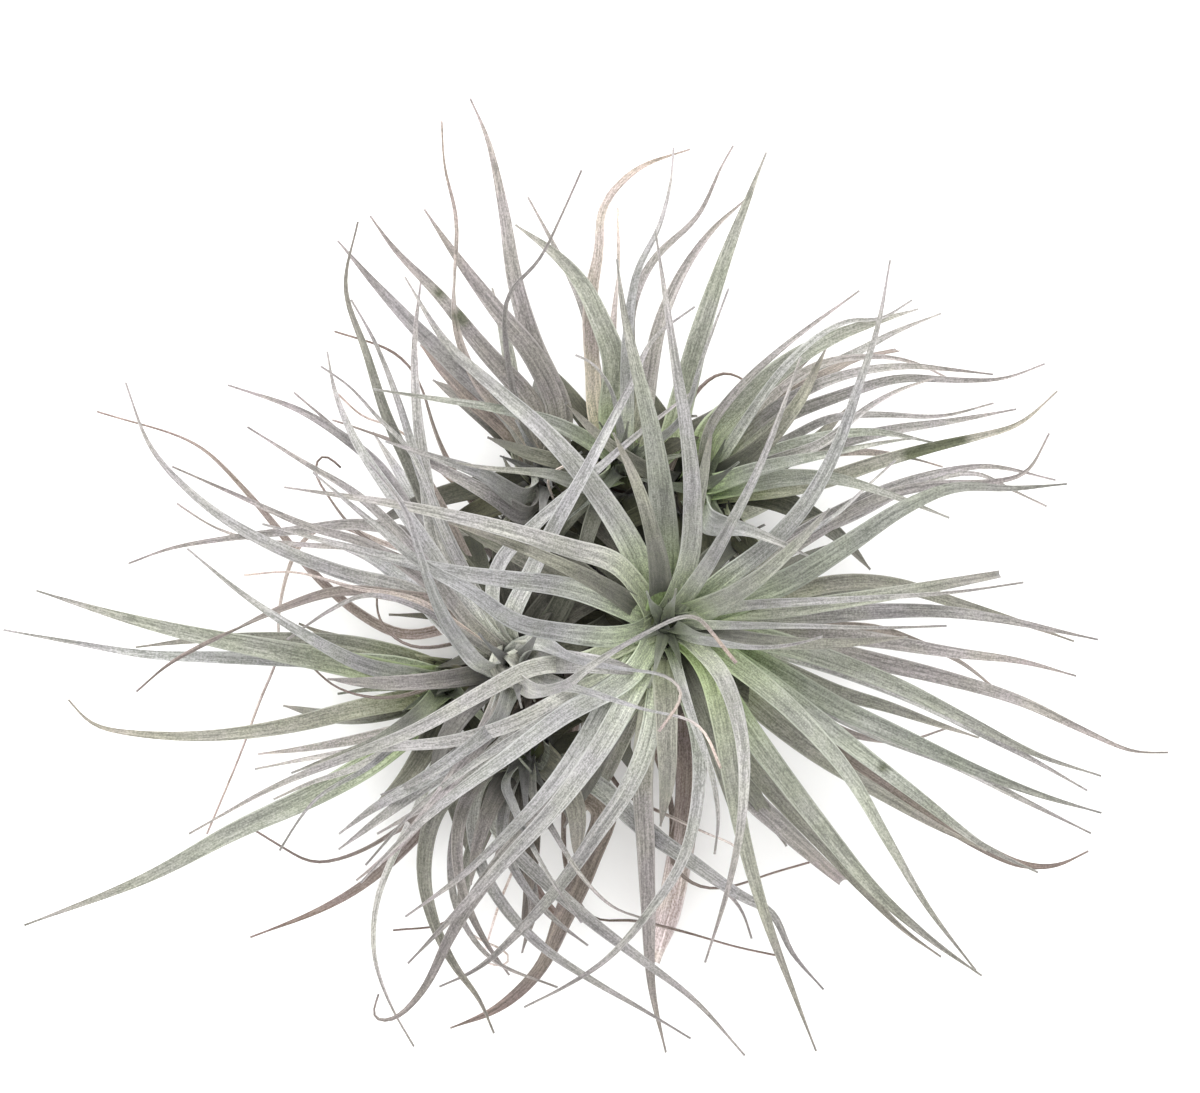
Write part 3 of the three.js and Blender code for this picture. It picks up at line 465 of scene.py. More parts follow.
class Line:
    """A leaf's middle line, bent by a lift and a swing."""

    def __init__(self, leaf, steps=FINE_STEPS):
        rosette = leaf["rosette"]
        random = random_from(leaf["seed"])
        length = rosette["length"] * leaf["share"] * strayed(LENGTH_SPREAD, random)
        root_share, arch, sag = LAYERS[leaf["layer"]]
        cx, cy, cz = rosette["at"]
        first = leaf["points"][0]
        away = math.hypot(first[0] - cx, first[1] - cy)
        inside = min(ROOT_REACH * rosette["base"] / away, MOST_INSIDE)
        self.root = np.array([mix(cx, first[0], inside), mix(cy, first[1], inside)])
        self.plan = spline([self.root, *leaf["points"]], steps)
        self.run = run_along(self.plan)
        self.reach = self.run[-1]
        allowed = max(math.sqrt(max(length ** 2 - self.reach ** 2, 0)), LEAST_RISE * length)
        self.root_height = cz + root_share * rosette["base"]
        self.rise = arch * strayed(RISE_SPREAD, random) * allowed
        self.sag = min(sag * strayed(SAG_SPREAD, random), MOST_SAG) * (self.root_height + self.rise)
        self.twist = mix(-TWIST, TWIST, random())
        self.stations = int(math.floor(LEAST_STRETCHES + self.reach / STRETCH + 0.5))
        self.lift = self.swing = 0

    def points(self, share):
        share = np.asarray(share, float)
        run = share * self.reach
        flat = np.stack([np.interp(run, self.run, self.plan[:, k]) for k in (0, 1)], 1) - self.root
        turn = math.radians(self.swing)
        x = self.root[0] + flat[:, 0] * math.cos(turn) - flat[:, 1] * math.sin(turn)
        y = self.root[1] + flat[:, 0] * math.sin(turn) + flat[:, 1] * math.cos(turn)
        risen = (self.rise + self.lift) * (1 - (1 - share) ** CURL)
        z = self.root_height + risen - self.sag * share ** CURL
        return np.stack([x, y, np.maximum(z, FLOOR)], 1)

    def corners(self, leaf):
        """The corners of the leaf's solid along its outer, level part."""
        share = (np.arange(self.stations + 1) / self.stations) ** CROWDED
        share = share[share > LEVEL_SHARE]
        ahead, behind = np.minimum(share + NEARBY, 1), np.maximum(share - NEARBY, 0)
        along = unit(self.points(ahead) - self.points(behind))
        level = unit(np.stack([-along[:, 1], along[:, 0], 0 * share], 1))
        angle = (self.twist * share)[:, None]
        across = level * np.cos(angle) + np.cross(along, level) * np.sin(angle)
        up = np.cross(along, across)
        width = leaf["width"] * BROAD * (1 - leaf["taper"] * share ** 2) * sheath_share(share)
        half = np.maximum(width, END_WIDTH)[:, None] / 2
        depth = np.full_like(width, DRY_DEPTH) if leaf["dry"] else width * DEPTH_SHARE
        depth = np.maximum(depth, END_DEPTH)[:, None]
        middle = self.points(share)
        return np.concatenate([middle + across * half, middle - across * half, middle - up * depth])


def settle(leaf, tree):
    """Finds how far the solids bent this leaf to clear its neighbours, and if it's there at all."""
    line = Line(leaf)
    best, bent = LEAST_FOUND, None
    for line.swing in SWINGS:
        for line.lift in LIFTS:
            corners = line.corners(leaf)
            found = sum(tree.find(Vector(corner) * MM)[2] < FOUND_WITHIN * MM for corner in corners)
            if found > best:
                best, bent = found, (line.lift, line.swing)
            if found == len(corners):
                return bent
    return bent


# A leaf's section, from margin to margin above and back below, as shares of its half width.
UPPER = np.array([-1, -0.76, -0.42, 0, 0.42, 0.76, 1])
UNDER = np.array([0.8, 0.42, 0, -0.42, -0.8])
ACROSS = np.concatenate([UPPER, UNDER])
IS_UNDER = np.concatenate([np.zeros(len(UPPER)), np.ones(len(UNDER))])
STEP = 3.2            # along a leaf, between its sections
FINEST_STEPS = 240    # for measuring along a leaf made in full
LEAST_WIDTH = 0.6
THICK_SHARE = 0.13    # a living blade's thickness, as a share of its width
LEAST_THICK = 0.5
DRY_THICK = 0.62
NARROW = 5            # a dry leaf narrower than this rolls up
LEAF_LOWEST = 0.6     # how near to the floor a leaf may come
SCALE_LOWEST = 0.5    # and the dry leaves and sheaths of the old stem
# How far from its rosette's axis a leaf's sheath lies: the inner leaves' in the outer ones'.
SHEATH_WRAP = {"Y": 0.3, "C": 0.4, "T": 0.52, "M": 0.78, "L": 1.04}
GATHERED = 34         # how far along a leaf it's drawn in towards its rosette's axis
BUDS = 5              # the tight young leaves at a rosette's heart
OVERGROWN = "rosette_left"    # has none, as its outer leaves close over its heart

# Painted shade: how much darker the leaves on the clump's low-y side are, as if the light fell from
# high y, and from which y to which.
SIDE_SHADE = np.array([0.17, 0.19, 0.2])
SIDE_SHADE_FROM_TO = (-40, -120)
# Painted shade, with some of the old leaf bases' own darker colour: how much darker the leaves deep
# inside are, and where that ends, going up and outwards.
DEEP_SHADE = np.array([0.8, 0.79, 0.87])
DEEP_SHADE_HEIGHT, DEEP_SHADE_REACH = (60, 100), (45, 100)
SHALLOW = 0.25        # the share of it that is left beyond
# Painted light: how much lighter the clump's middle is, under its highest leaves, and where that ends.
INNER_LIGHT = 0.38
INNER_HEIGHT, INNER_REACH = (100, 150), (35, 90)
FOOT_PAINTED_LIGHT = 1.0       # how much painted light lightens a leaf's foot, against the shade at its rosette's heart
FOOT_FROM_TO = (0.12, 0.42)
GREEN_FOOT = np.array([0.83, 0.9, 0.73])    # its tint in the greenest rosettes
ROSETTE_LIGHT = {"rosette_upper_right": 1.22, "rosette_far_left": 1.1, "rosette_upper": 1.07}
LAYER_LIGHT = {"C": 0.9, "T": 0.85, "M": 0.93, "L": 1.02}
FADES = {"g": (0.02, 0.5), "w": (0.55, 0.8)}    # where a leaf's root colour is lost
OTHER_FADE = (0.02, 0.3)
BLEMISH_STRENGTH = 0.85


def linked(name, data):
    """A new object in the scene."""
    thing = bpy.data.objects.new(name, data)
    bpy.context.scene.collection.objects.link(thing)
    return thing


def angles_round(sides):
    return np.arange(sides) * 2 * math.pi / sides


class Bundle:
    """Gathers closed strips of sections into one mesh, with what its material reads at each point."""

    def __init__(self):
        self.points, self.faces, self.corners, self.strips = [], [], [], []
        self.tint, self.blade, self.leaf = [], [], []
        self.count = 0

    def strip(self, rings, tint, share, across, under, offset):
        """rings: sections of points from one end to the other. The rest is given for each of them."""
        n, m = rings.shape[:2]
        start = self.count
        self.count += n * m
        self.points.append(rings.reshape(-1, 3))
        run = run_along(rings.mean(1))
        around = np.linalg.norm(np.roll(rings, -1, 1) - rings, axis=2).max(0)
        turn = np.concatenate([[0], np.cumsum(around)])
        middle = rings.mean(1, keepdims=True)
        out = np.linalg.norm(rings - middle, axis=2) * np.sign(across)
        blade = np.stack([out + 0 * run[:, None], run[:, None] + 0 * out, np.full((n, m), offset)], 2)
        self.blade.append(blade.reshape(-1, 3))
        leaf = np.stack(np.broadcast_arrays(share[:, None], across, under), 2)
        self.leaf.append(leaf.reshape(-1, 3))
        self.tint.append(np.broadcast_to(tint, (n, m, 3)).reshape(-1, 3))
        first = len(self.corners)
        for i in range(n - 1):
            low, high = start + i * m, start + (i + 1) * m
            for j in range(m):
                k = (j + 1) % m
                self.faces.append((low + j, low + k, high + k, high + j))
                self.corners += [(turn[j], run[i]), (turn[j + 1], run[i]),
                                 (turn[j + 1], run[i + 1]), (turn[j], run[i + 1])]
        last = start + (n - 1) * m
        self.faces.append(tuple(range(start + m - 1, start - 1, -1)))
        self.corners += [(turn[j], run[0]) for j in range(m - 1, -1, -1)]
        self.faces.append(tuple(range(last, last + m)))
        self.corners += [(turn[j], run[-1]) for j in range(m)]
        self.strips.append((first, len(self.corners), turn[-1], run[-1]))

    def unrolled(self):
        """Lays the strips out flat in rows, inside a square."""
        places = np.array(self.corners, float)
        gap, spare, edge = 1.0, 1.06, 0.004
        area = sum((w + gap) * (h + gap) for _, _, w, h in self.strips)
        side = math.sqrt(area) * spare
        x = y = tallest = top = 0.0
        for first, end, w, h in sorted(self.strips, key=lambda strip: -strip[3]):
            if x + w > side and x > 0:
                x, y, tallest = 0.0, y + tallest + gap, 0.0
            places[first:end] += (x, y)
            x, tallest = x + w + gap, max(tallest, h)
            top = max(top, x, y + tallest)
        return places / (top * 1.01) + edge

    def build(self, name, material, node):
        mesh = bpy.data.meshes.new(name)
        mesh.from_pydata((np.concatenate(self.points) * MM).tolist(), [], self.faces)
        for key, values in (("tint", self.tint), ("blade", self.blade), ("leaf", self.leaf)):
            layer = mesh.attributes.new(key, "FLOAT_VECTOR", "POINT")
            layer.data.foreach_set("vector", np.concatenate(values).astype(np.float32).ravel())
        layer = mesh.uv_layers.new(name="OFBake")
        layer.data.foreach_set("uv", self.unrolled().astype(np.float32).ravel())
        mesh.polygons.foreach_set("use_smooth", np.ones(len(mesh.polygons), bool))
        mesh.materials.append(material)
        mesh.update()
        piece = linked(name, mesh)
        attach(piece, "root")
        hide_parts(node)


def profile_radius(height):
    radii, heights = zip(*BASE_PROFILE)
    return np.interp(height, heights, radii)


def base_axis(rosette):
    return unit(np.array([rosette["lean"][0], rosette["lean"][1], 20.0]))


def sheath_path(path, rosette, layer):
    """The part of a leaf outside its rosette's base, led on down the base's side."""
    centre, axis, base = np.array(rosette["at"], float), base_axis(rosette), rosette["base"]
    wrap = SHEATH_WRAP[layer]
    run = run_along(path)
    height = (path - centre) @ axis / base
    away = path - centre - np.outer(height * base, axis)
    drawn = max(ROOT_REACH - wrap, 0) * base * (1 - smooth(0, GATHERED, run))
    path = path - np.outer(drawn, unit(away[0]))
    away = path - centre - np.outer(height * base, axis)
    radius = np.linalg.norm(away, axis=1) / base
    outside = (height > 1.2) | (radius > wrap * profile_radius(height) + 0.02)
    first = int(np.argmax(outside))
    outward = unit(away[first])
    exit_height = min(height[first], 1.1)
    lower = [max(exit_height - down, -1.38) for down in (1.0, 0.65, 0.3)]
    prefix = [centre + axis * h * base + outward * wrap * profile_radius(h) * base for h in lower]
    return np.vstack([prefix, path[first:]]), outward


def resampled(path, step, least=12):
    run = run_along(path)
    n = max(int(round(run[-1] / step)), least)
    at = np.linspace(0, run[-1], n + 1)
    return np.stack([np.interp(at, run, path[:, k]) for k in range(3)], 1), at


def softened(path, rounds):
    """Evens out the kinks of a path, keeping its ends."""
    for _ in range(rounds):
        path[1:-1] = path[:-2] * 0.25 + path[1:-1] * 0.5 + path[2:] * 0.25
    return path


def turned_about(vectors, axes, angles):
    """vectors at right angles to their axes, turned about them."""
    angles = np.asarray(angles, float)[:, None]
    return vectors * np.cos(angles) + np.cross(axes, vectors) * np.sin(angles)


def blade_across(path, share, outward=None, clasp=None):
    """Which way a leaf's margins lie: level in its outer part, turned as little as can be in its
    steep inner part, and round its base where it clasps that."""
    along = unit(np.gradient(path, axis=0))
    across = unit(np.stack([-along[:, 1], along[:, 0], 0 * share], 1))
    for i in range(len(path) - 2, -1, -1):
        if share[i] <= LEVEL_SHARE:
            across[i] = unit(across[i + 1] - along[i] * (across[i + 1] @ along[i]))
    if clasp is not None:
        round_base = np.array([-outward[1], outward[0], 0.0])
        target = unit(round_base - along * (along @ round_base)[:, None])
        angle = np.arctan2(np.sum(np.cross(across, target) * along, 1), np.sum(across * target, 1))
        across = turned_about(across, along, angle * clasp)
    return along, across


def sections(path, along, across, width, wrap, thick, lowest=LEAF_LOWEST):
    """Sections of a channelled blade along a path. wrap: the angle that each half curves up by."""
    up = np.cross(along, across)
    half, wrap, thick = width[:, None] / 2, wrap[:, None], thick[:, None]
    angle = wrap * ACROSS
    out = half * np.sin(angle) / wrap
    rise = half * (1 - np.cos(angle)) / wrap
    body = thick * (1 - 0.8 * np.abs(ACROSS) ** 2.4) * IS_UNDER    # thinner towards its margins
    out = out + body * np.sin(angle)
    rise = rise - body * np.cos(angle)
    rings = path[:, None] + across[:, None] * out[:, :, None] + up[:, None] * rise[:, :, None]
    rings[:, :, 2] = np.maximum(rings[:, :, 2], lowest)
    return rings


def leaf_colours(leaf, share, random):
    """The leaf's colour at each section, from its base to its tip."""
    root, middle, tip = (linear(c) for c in TONES[leaf["tone"]])
    green = leaf["rosette"]["green"]
    lightness = mix(0.86, 1.14, random())
    warm = mix(-0.014, 0.018, random())
    tip_from, tip_to = 0.62, 0.98
    if curled(leaf):
        root, middle = (linear(c) for c in TONES["s"][:2])
        tip_from, tip_to = 0.8, 0.96
    start = mix(middle, root, 1 if leaf["tone"] == "w" else 0.35 + 0.65 * green)
    share = share[:, None]
    colour = mix(start, middle, smooth(*FADES.get(leaf["tone"], OTHER_FADE), share))
    colour = mix(colour, tip, smooth(tip_from, tip_to, share))
    cool = (1 - green) * 0.012
    return colour * lightness * np.array([1 + warm, 1 - cool, 1 - warm + cool])


def curled(leaf):
    """One of the silver leaves that end in a thin, pink curl."""
    return leaf["tone"] == "k" and leaf["layer"] == "C"


def taper_of(leaf, share):
    """A leaf's width along its way, as a share of its full width."""
    if curled(leaf):
        return mix(2, 0.62, smooth(0.05, 0.5, share)) * mix(1, 0.36, smooth(0.5, 0.8, share))
    if leaf["layer"] == "Y":
        return (1 - share) ** 0.8
    if leaf["tone"] == "w" and leaf["taper"] < 1:
        return 1 - 0.5 * smooth(0.85, 1, share)
    return 1 - leaf["taper"] * share ** 2


def lit(colours, leaf, path, share):
    """A leaf's colours with painted light and shade, by its place in the clump and by its layer."""
    rosette, height, reach = leaf["rosette"], path[:, 2], np.linalg.norm(path[:, :2], axis=1)
    if leaf["layer"] == "Y":
        colours = colours * (0.95 - 0.4 * share)[:, None]
    elif leaf["deep"]:
        # painted shade deep in the clump: lower leaves darker low down and near its middle
        deep = (1 - smooth(*DEEP_SHADE_HEIGHT, height)) * (1 - smooth(*DEEP_SHADE_REACH, reach))
        colours = colours * (1 - mix(SHALLOW, 1, deep)[:, None] * DEEP_SHADE)
    else:
        foot = 1 - smooth(*FOOT_FROM_TO, share)[:, None]
        # painted light on each leaf's foot, against the shade at its rosette's heart
        colours = colours * LAYER_LIGHT[leaf["layer"]] * (1 + FOOT_PAINTED_LIGHT * foot)
        colours = colours * mix(1, GREEN_FOOT, foot * rosette["green"])
        # painted light in the clump's middle, under its highest leaves
        inner = (1 - smooth(*INNER_REACH, reach)) * (1 - smooth(*INNER_HEIGHT, height))
        light = (1 + INNER_LIGHT * inner)[:, None]
        colours = colours * light * ROSETTE_LIGHT.get(rosette["name"], 1)
    # painted shade: leaves darker towards low y, as under light from high y
    side_shade = smooth(*SIDE_SHADE_FROM_TO, path[:, 1])[:, None]
    return colours * (1 - side_shade * SIDE_SHADE)


def add_leaf(bundle, leaf, path, twist=0.1):
    random = random_from(leaf["seed"] + LOOKS_SEED)
    rosette = leaf["rosette"]
    sheathed = "fill" in rosette
    outward = clasp = None
    if sheathed:
        path, outward = sheath_path(path, rosette, leaf["layer"])
    path, run = resampled(path, STEP)
    path = softened(path, 2)
    share = run / run[-1]
    grip = 1 - smooth(rosette["base"] * 0.6, rosette["base"] * 2.4, run) if sheathed else 0 * run
    along, across = blade_across(path, share, outward, grip if sheathed else None)
    width = leaf["width"] * BROAD * taper_of(leaf, share) * sheath_share(share)
    width = np.maximum(width, LEAST_WIDTH) * (1 + 0.3 * grip)
    wrap = mix(0.45, 1.0 if not leaf["dry"] else 0.6, smooth(0.35, 1.0, share)) + 0.3 * grip
    phase = 6 * random()
    if leaf["dry"] and not curled(leaf):
        thick = np.full_like(share, DRY_THICK)
        turns = mix(1.2, 3.4, random()) * (1 if random() < 0.5 else -1)
        rolled = leaf["width"] < NARROW
        roll = turns * smooth(0.3, 1.0, share) if rolled else 0.4 * np.sin(share * 7)
        roll = roll + 0.25 * np.sin(share * mix(9, 15, random()) + phase)
    else:
        thick = np.maximum(width * THICK_SHARE, LEAST_THICK) * (1 - 0.2 * grip)
        roll = twist * share + 0.1 * np.sin(share * mix(6, 11, random()) + phase)
    across = turned_about(across, along, roll * (1 - grip))
    rings = sections(path, along, across, width, wrap, thick)
    colours = leaf_colours(leaf, share * (0.4 if leaf["layer"] == "Y" else 1), random)
    colours = np.repeat(lit(colours, leaf, path, share)[:, None], len(ACROSS), 1)
    for x, y, radius in BLEMISHES:
        near = np.linalg.norm(rings[:, :, :2] - (x, y), axis=2)
        mark = (1 - smooth(radius * 0.5, radius * 1.3, near))[:, :, None] * BLEMISH_STRENGTH
        colours = mix(colours, linear(BLEMISH), mark)
    bundle.strip(rings, colours, share, ACROSS, IS_UNDER, (leaf["seed"] % 997) * 7.3)


def add_core(bundle, rosette):
    """The body of the base under its sheaths, and the tight young leaves at its heart."""
    centre, axis, base = np.array(rosette["at"], float), base_axis(rosette), rosette["base"]
    side = unit(np.cross(axis, (0, 1, 0)))
    other = np.cross(axis, side)
    sides = 24
    angle = angles_round(sides)
    heights = np.linspace(-1.42, 1.12, 14)
    rings = []
    for height in heights:
        slim = 0.84 * (1 - 0.72 * smooth(-0.5, 0.5, height))
        radius = profile_radius(height) * slim * base * (1 + 0.05 * np.sin(angle * 5 + height * 3))
        rings.append(centre + axis * height * base * 0.95 + np.outer(radius * np.cos(angle), side)
                     + np.outer(radius * np.sin(angle), other))
    low, high = linear((108, 94, 80)), linear((90, 100, 68))
    colours = np.stack([mix(low, high, smooth(-1.0, 0.4, h)) for h in heights])[:, None]
    share = np.linspace(0, 0.2, len(heights))
    bundle.strip(np.array(rings), np.repeat(colours, sides, 1), share, np.cos(angle), np.zeros(sides),
                 5.0)
    random = random_from(int(rosette["at"][0] * 31 + rosette["at"][1] * 17) + HEART_SEED)
    for i in range(BUDS if rosette["name"] != OVERGROWN else 0):
        turned = math.radians(rosette["young"]["turn"] + GOLDEN * i)
        outward = np.array([math.cos(turned), math.sin(turned), 0])
        step = i / (BUDS - 1)
        length = mix(14, 34, step) * mix(0.9, 1.1, random())
        lean = mix(0.03, 0.3, step) * mix(0.8, 1.2, random())
        way = np.linspace(0, 1, 30)[:, None]
        path = (centre + axis * base * 0.5 + outward * base * mix(0.08, 0.3, step)
                + axis * length * way)
        path = path + outward * length * lean * way ** 1.6
        path, run = resampled(path, STEP * 0.7)
        share = run / run[-1]
        width = np.maximum(mix(3, 5.5, step) * (1 - share) ** 0.8, 0.5)
        along, across = blade_across(path, share + LEVEL_SHARE)
        leaf = {"tone": "g" if rosette["green"] > 0.5 else "s", "rosette": rosette}
        thick = np.maximum(width * THICK_SHARE, 0.4)
        rings = sections(path, along, across, width, mix(1.0, 0.5, share), thick)
        colours = leaf_colours(leaf, share * 0.3, random)[:, None]
        colours = (0.9 - 0.4 * share)[:, None, None] * colours
        bundle.strip(rings, np.repeat(colours, len(ACROSS), 1), share, ACROSS, IS_UNDER, 11.0 * i + 3)


class Graph:
    """Adds nodes to a material and links them as they come."""

    def __init__(self, name):
        self.material = bpy.data.materials.new(name)
        self.material.use_nodes = True
        self.nodes = self.material.node_tree.nodes
        self.links = self.material.node_tree.links
        self.shader = self.nodes["Principled BSDF"]

    def give(self, socket, value):
        if isinstance(value, bpy.types.NodeSocket):
            self.links.new(value, socket)
        else:
            socket.default_value = value

    def add(self, kind, inputs, output=0, **settings):
        node = self.nodes.new("ShaderNode" + kind)
        for key, value in settings.items():
            setattr(node, key, value)
        for key, value in inputs.items():
            self.give(node.inputs[key], value)
        return node.outputs[output]

    def read(self, name):
        return self.add("Attribute", {}, "Vector", attribute_name=name)

    def maths(self, operation, *values):
        return self.add("Math", dict(enumerate(values)), operation=operation)

    def scaled(self, vector, factors):
        return self.add("VectorMath", {0: vector, 1: factors}, operation="MULTIPLY")

    def noise(self, vector, factors, detail=2.0, roughness=0.5):
        return self.add("TexNoise", {"Vector": self.scaled(vector, factors), "Scale": 1.0,
                                     "Detail": detail, "Roughness": roughness})

    def ramp(self, value, low, high, start=0.0, end=1.0):
        return self.add("MapRange", {"Value": value, "From Min": low, "From Max": high,
                                     "To Min": start, "To Max": end}, interpolation_type="SMOOTHSTEP")

    def plus(self, onto, value, factor):
        """onto, plus how far a noise is above its middle, times a factor."""
        return self.maths("MULTIPLY_ADD", self.maths("SUBTRACT", value, 0.5), factor, onto)

    def blend(self, share, one, other, kind="MIX"):
        node = self.nodes.new("ShaderNodeMix")
        node.data_type, node.blend_type = "RGBA", kind
        self.give(node.inputs[0], share)
        self.give(node.inputs[6], one)
        self.give(node.inputs[7], other)
        return node.outputs[2]

    def finish(self, colour, roughness, height, distance, **constants):
        self.give(self.shader.inputs["Base Color"], colour)
        self.give(self.shader.inputs["Roughness"], roughness)
        bump = self.add("Bump", {"Height": height, "Distance": distance, "Strength": 0.6})
        self.give(self.shader.inputs["Normal"], bump)
        for name, value in constants.items():
            self.shader.inputs[name.replace("_", " ")].default_value = value
        return self.material


def rgba(rgb):
    return (*linear(rgb), 1.0)


def leaf_material(name, dark, fleck):
    """Silver scales over a fleshy blade: fine veins along it, a pale margin, darker worn places, and
    painted shade down its middle.
    """
    g = Graph(name)
    blade, place, tint = g.read("blade"), g.read("leaf"), g.read("tint")
    parts = g.nodes.new("ShaderNodeSeparateXYZ")
    g.give(parts.inputs[0], place)
    across = g.maths("ABSOLUTE", parts.outputs["Y"])
    veins = g.noise(blade, (1.6, 0.045, 1.0), 3.0, 0.6)
    lines = g.noise(blade, (3.6, 0.3, 1.0), 2.0, 0.5)
    grain = g.noise(blade, (1.7, 1.3, 1.0), 3.0, 0.75)
    patches = g.noise(blade, (0.12, 0.035, 1.0), 2.0, 0.5)
    scales = g.scaled(blade, (1.9, 1.3, 1.0))
    scales = g.add("TexVoronoi", {"Vector": scales, "Scale": 1.0}, "Distance")
    bands = g.noise(blade, (0.5, 0.02, 1.0), 1.0, 0.5)
    scurf = g.plus(g.plus(g.plus(0.5, grain, 1.5), veins, 1.6), lines, 1.0)
    scurf = g.maths("MULTIPLY_ADD", g.maths("SUBTRACT", 0.45, scales), fleck, scurf)
    scurf = g.add("Clamp", {"Value": scurf})
    light = g.maths("MULTIPLY_ADD", scurf, 0.82, 0.59)
    light = g.maths("MULTIPLY", light, g.ramp(patches, 0.3, 0.7, 0.9, 1.08))
    light = g.maths("MULTIPLY", light, g.ramp(bands, 0.3, 0.7, 0.88, 1.1))
    # painted shade down the middle of the channelled blade
    light = g.maths("MULTIPLY", light, g.ramp(across, 0.0, 0.4, 0.9, 1.0))
    bloom = g.ramp(g.noise(blade, (0.1, 0.06, 1.0), 2.0, 0.6), 0.35, 0.65)
    hue = g.blend(bloom, (1.0, 1.0, 0.97, 1.0), (1.01, 0.985, 1.03, 1.0))
    shaded = g.add("VectorMath", {0: tint, "Scale": light}, operation="SCALE")
    shaded = g.add("VectorMath", {0: shaded, 1: hue}, operation="MULTIPLY")
    deep = g.scaled(shaded, dark)
    colour = g.blend(g.ramp(scurf, 0.15, 0.75), deep, shaded)
    edge = g.ramp(parts.outputs["X"], 0.5, 0.9, 0.8, 0.2)
    edge = g.maths("MULTIPLY", g.ramp(across, 0.8, 0.94), edge)
    colour = g.blend(edge, colour, g.scaled(tint, (1.5, 1.5, 1.52)))
    rough = g.ramp(scurf, 0.0, 1.0, 0.62, 0.86)
    return g.finish(colour, rough, scurf, 0.12 * MM, Sheen_Weight=0.22, Sheen_Roughness=0.45,
                    Specular_IOR_Level=0.3)


def stem_material():
    """Dry, woody and fibrous: dark furrows, paler ridges, grey dust."""
    g = Graph("dry_stem")
    blade, tint = g.read("blade"), g.read("tint")
    fibres = g.noise(blade, (3.2, 0.12, 1.0), 4.0, 0.65)
    lumps = g.noise(blade, (0.5, 0.3, 1.0), 3.0, 0.6)
    dust = g.noise(blade, (2.0, 1.6, 1.0), 2.0, 0.7)
    depth = g.plus(lumps, fibres, 1.6)
    light = g.maths("MULTIPLY_ADD", g.add("Clamp", {"Value": depth}), 0.8, 0.55)
    shaded = g.add("VectorMath", {0: tint, "Scale": light}, operation="SCALE")
    colour = g.blend(g.ramp(dust, 0.52, 0.8, 0.0, 0.35), shaded, rgba((188, 176, 160)))
    rough = g.ramp(depth, 0.2, 0.9, 0.75, 0.95)
    return g.finish(colour, rough, depth, 0.25 * MM, Sheen_Weight=0.1, Specular_IOR_Level=0.25)


def vertex_tree(node):
    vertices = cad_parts[node].data.vertices
    tree = KDTree(len(vertices))
    for i, vertex in enumerate(vertices):
        tree.insert(vertex.co, i)
    tree.balance()
    return tree


def place_leaves(bundle, rosette, index):
    """Adds each of the rosette's leaves that the solids hold."""
    tree = vertex_tree(rosette["name"])
    seed = SEEDS_APART * (index + 1)
    leaves = leaves_from(rosette["leaves"], rosette, seed)
    if "fill" in rosette:
        leaves += plain_leaves(rosette, seed + PLAIN_FROM)
    for leaf in leaves:
        bent = settle(leaf, tree)
        if bent and leaf["seed"] != STRAP_SEED:
            line = Line(leaf, FINEST_STEPS)
            line.lift, line.swing = bent
            add_leaf(bundle, leaf, line.points(EVERY_STEP), line.twist)


# Leaves that the solids leave out, as they'd cross others: they fill the clump's dark places.
EXTRA = {
    "rosette_left": """
M s 6 -36,-42 -48,-52 -62,-61 -74,-68 -86,-77
M s 5 -34,-40 -46,-50 -58,-58 -72,-64
M p 5.5 -38,-44 -48,-58 -58,-71 -68,-82 -80,-92
L b 6 -36,-46 -48,-60 -60,-71 -72,-80
L o 7 -34,-8 -42,6 -52,20 -60,30
L p 6.5 -24,-6 -26,8 -34,24 -44,36
L o 6.5 -18,-10 -10,4 -6,18 -10,30
L o 7 -34,-12 -38,2 -41,16 -46,30
L p 6.5 -28,-8 -31,4 -33,18 -30,32
L o 6.5 -14,-16 2,-8 10,4
L o 6.5 -14,-30 -2,-38 8,-50 14,-62
M s 8.5 -24,-19 -12,-20 0,-21 14,-24""",
    "rosette_upper_left": """
L p 7 -24,34 -34,32 -46,26 -58,18
L o 7 -20,28 -26,18 -34,8
L b 6.5 -12,28 -6,18 2,10""",
    "rosette_upper": """
L o 7 12,34 14,22 10,10
L o 7 2,34 -6,24 -16,16
L p 6 20,50 34,58 44,66""",
    "rosette_upper_right": """
L o 7 42,26 52,14 62,6 70,2
L p 7 40,28 46,18 44,6
L o 7 46,36 62,32 78,22 90,10""",
    "rosette_centre": """
L o 7 36,-2 54,6 70,14 84,20
L o 7 36,-20 56,-34 74,-46 92,-60
L o 7 28,-24 40,-46 52,-66 62,-82
L o 7 4,0 -8,10 -22,16 -34,18
L o 7 30,6 40,16 52,22
L p 7 14,-26 4,-42 -4,-60 -12,-76""",
    "rosette_lower": """
L b 5 -22,-64 -22,-80 -24,-96 -26,-112
M p 4.5 -36,-56 -44,-66 -47,-80 -45,-96 -38,-112 -30,-124
M s 4 -30,-64 -32,-78 -26,-92 -16,-104 -4,-114
L p 5 -24,-66 -26,-84 -22,-100 -26,-118
L o 6 -34,-62 -40,-78 -45,-94 -47,-110
M s 6.5 -38,-46 -50,-55 -62,-64 -74,-73 -86,-82""",
    "rosette_far_left": """
L o 7 -52,-36 -57,-48 -65,-60 -76,-70""",
}
STRAP = [(-28, -22, 70), (-25, -27, 102), (-18, -29, 145), (-10, -26.5, 170), (-4, -21.5, 185),
         (6, -15, 197), (17, -9, 202.5), (26, -4.8, 200), (31, -5, 195), (36, -10, 184),
         (40, -15, 177), (44, -20, 173)]
STRAP_SEED = 1050        # the leaf of the solids whose curl it ends in
EVERY_STEP = np.linspace(0, 1, FINEST_STEPS + 1)
SKIRT = 64               # short dead leaves round the foot of the old stem
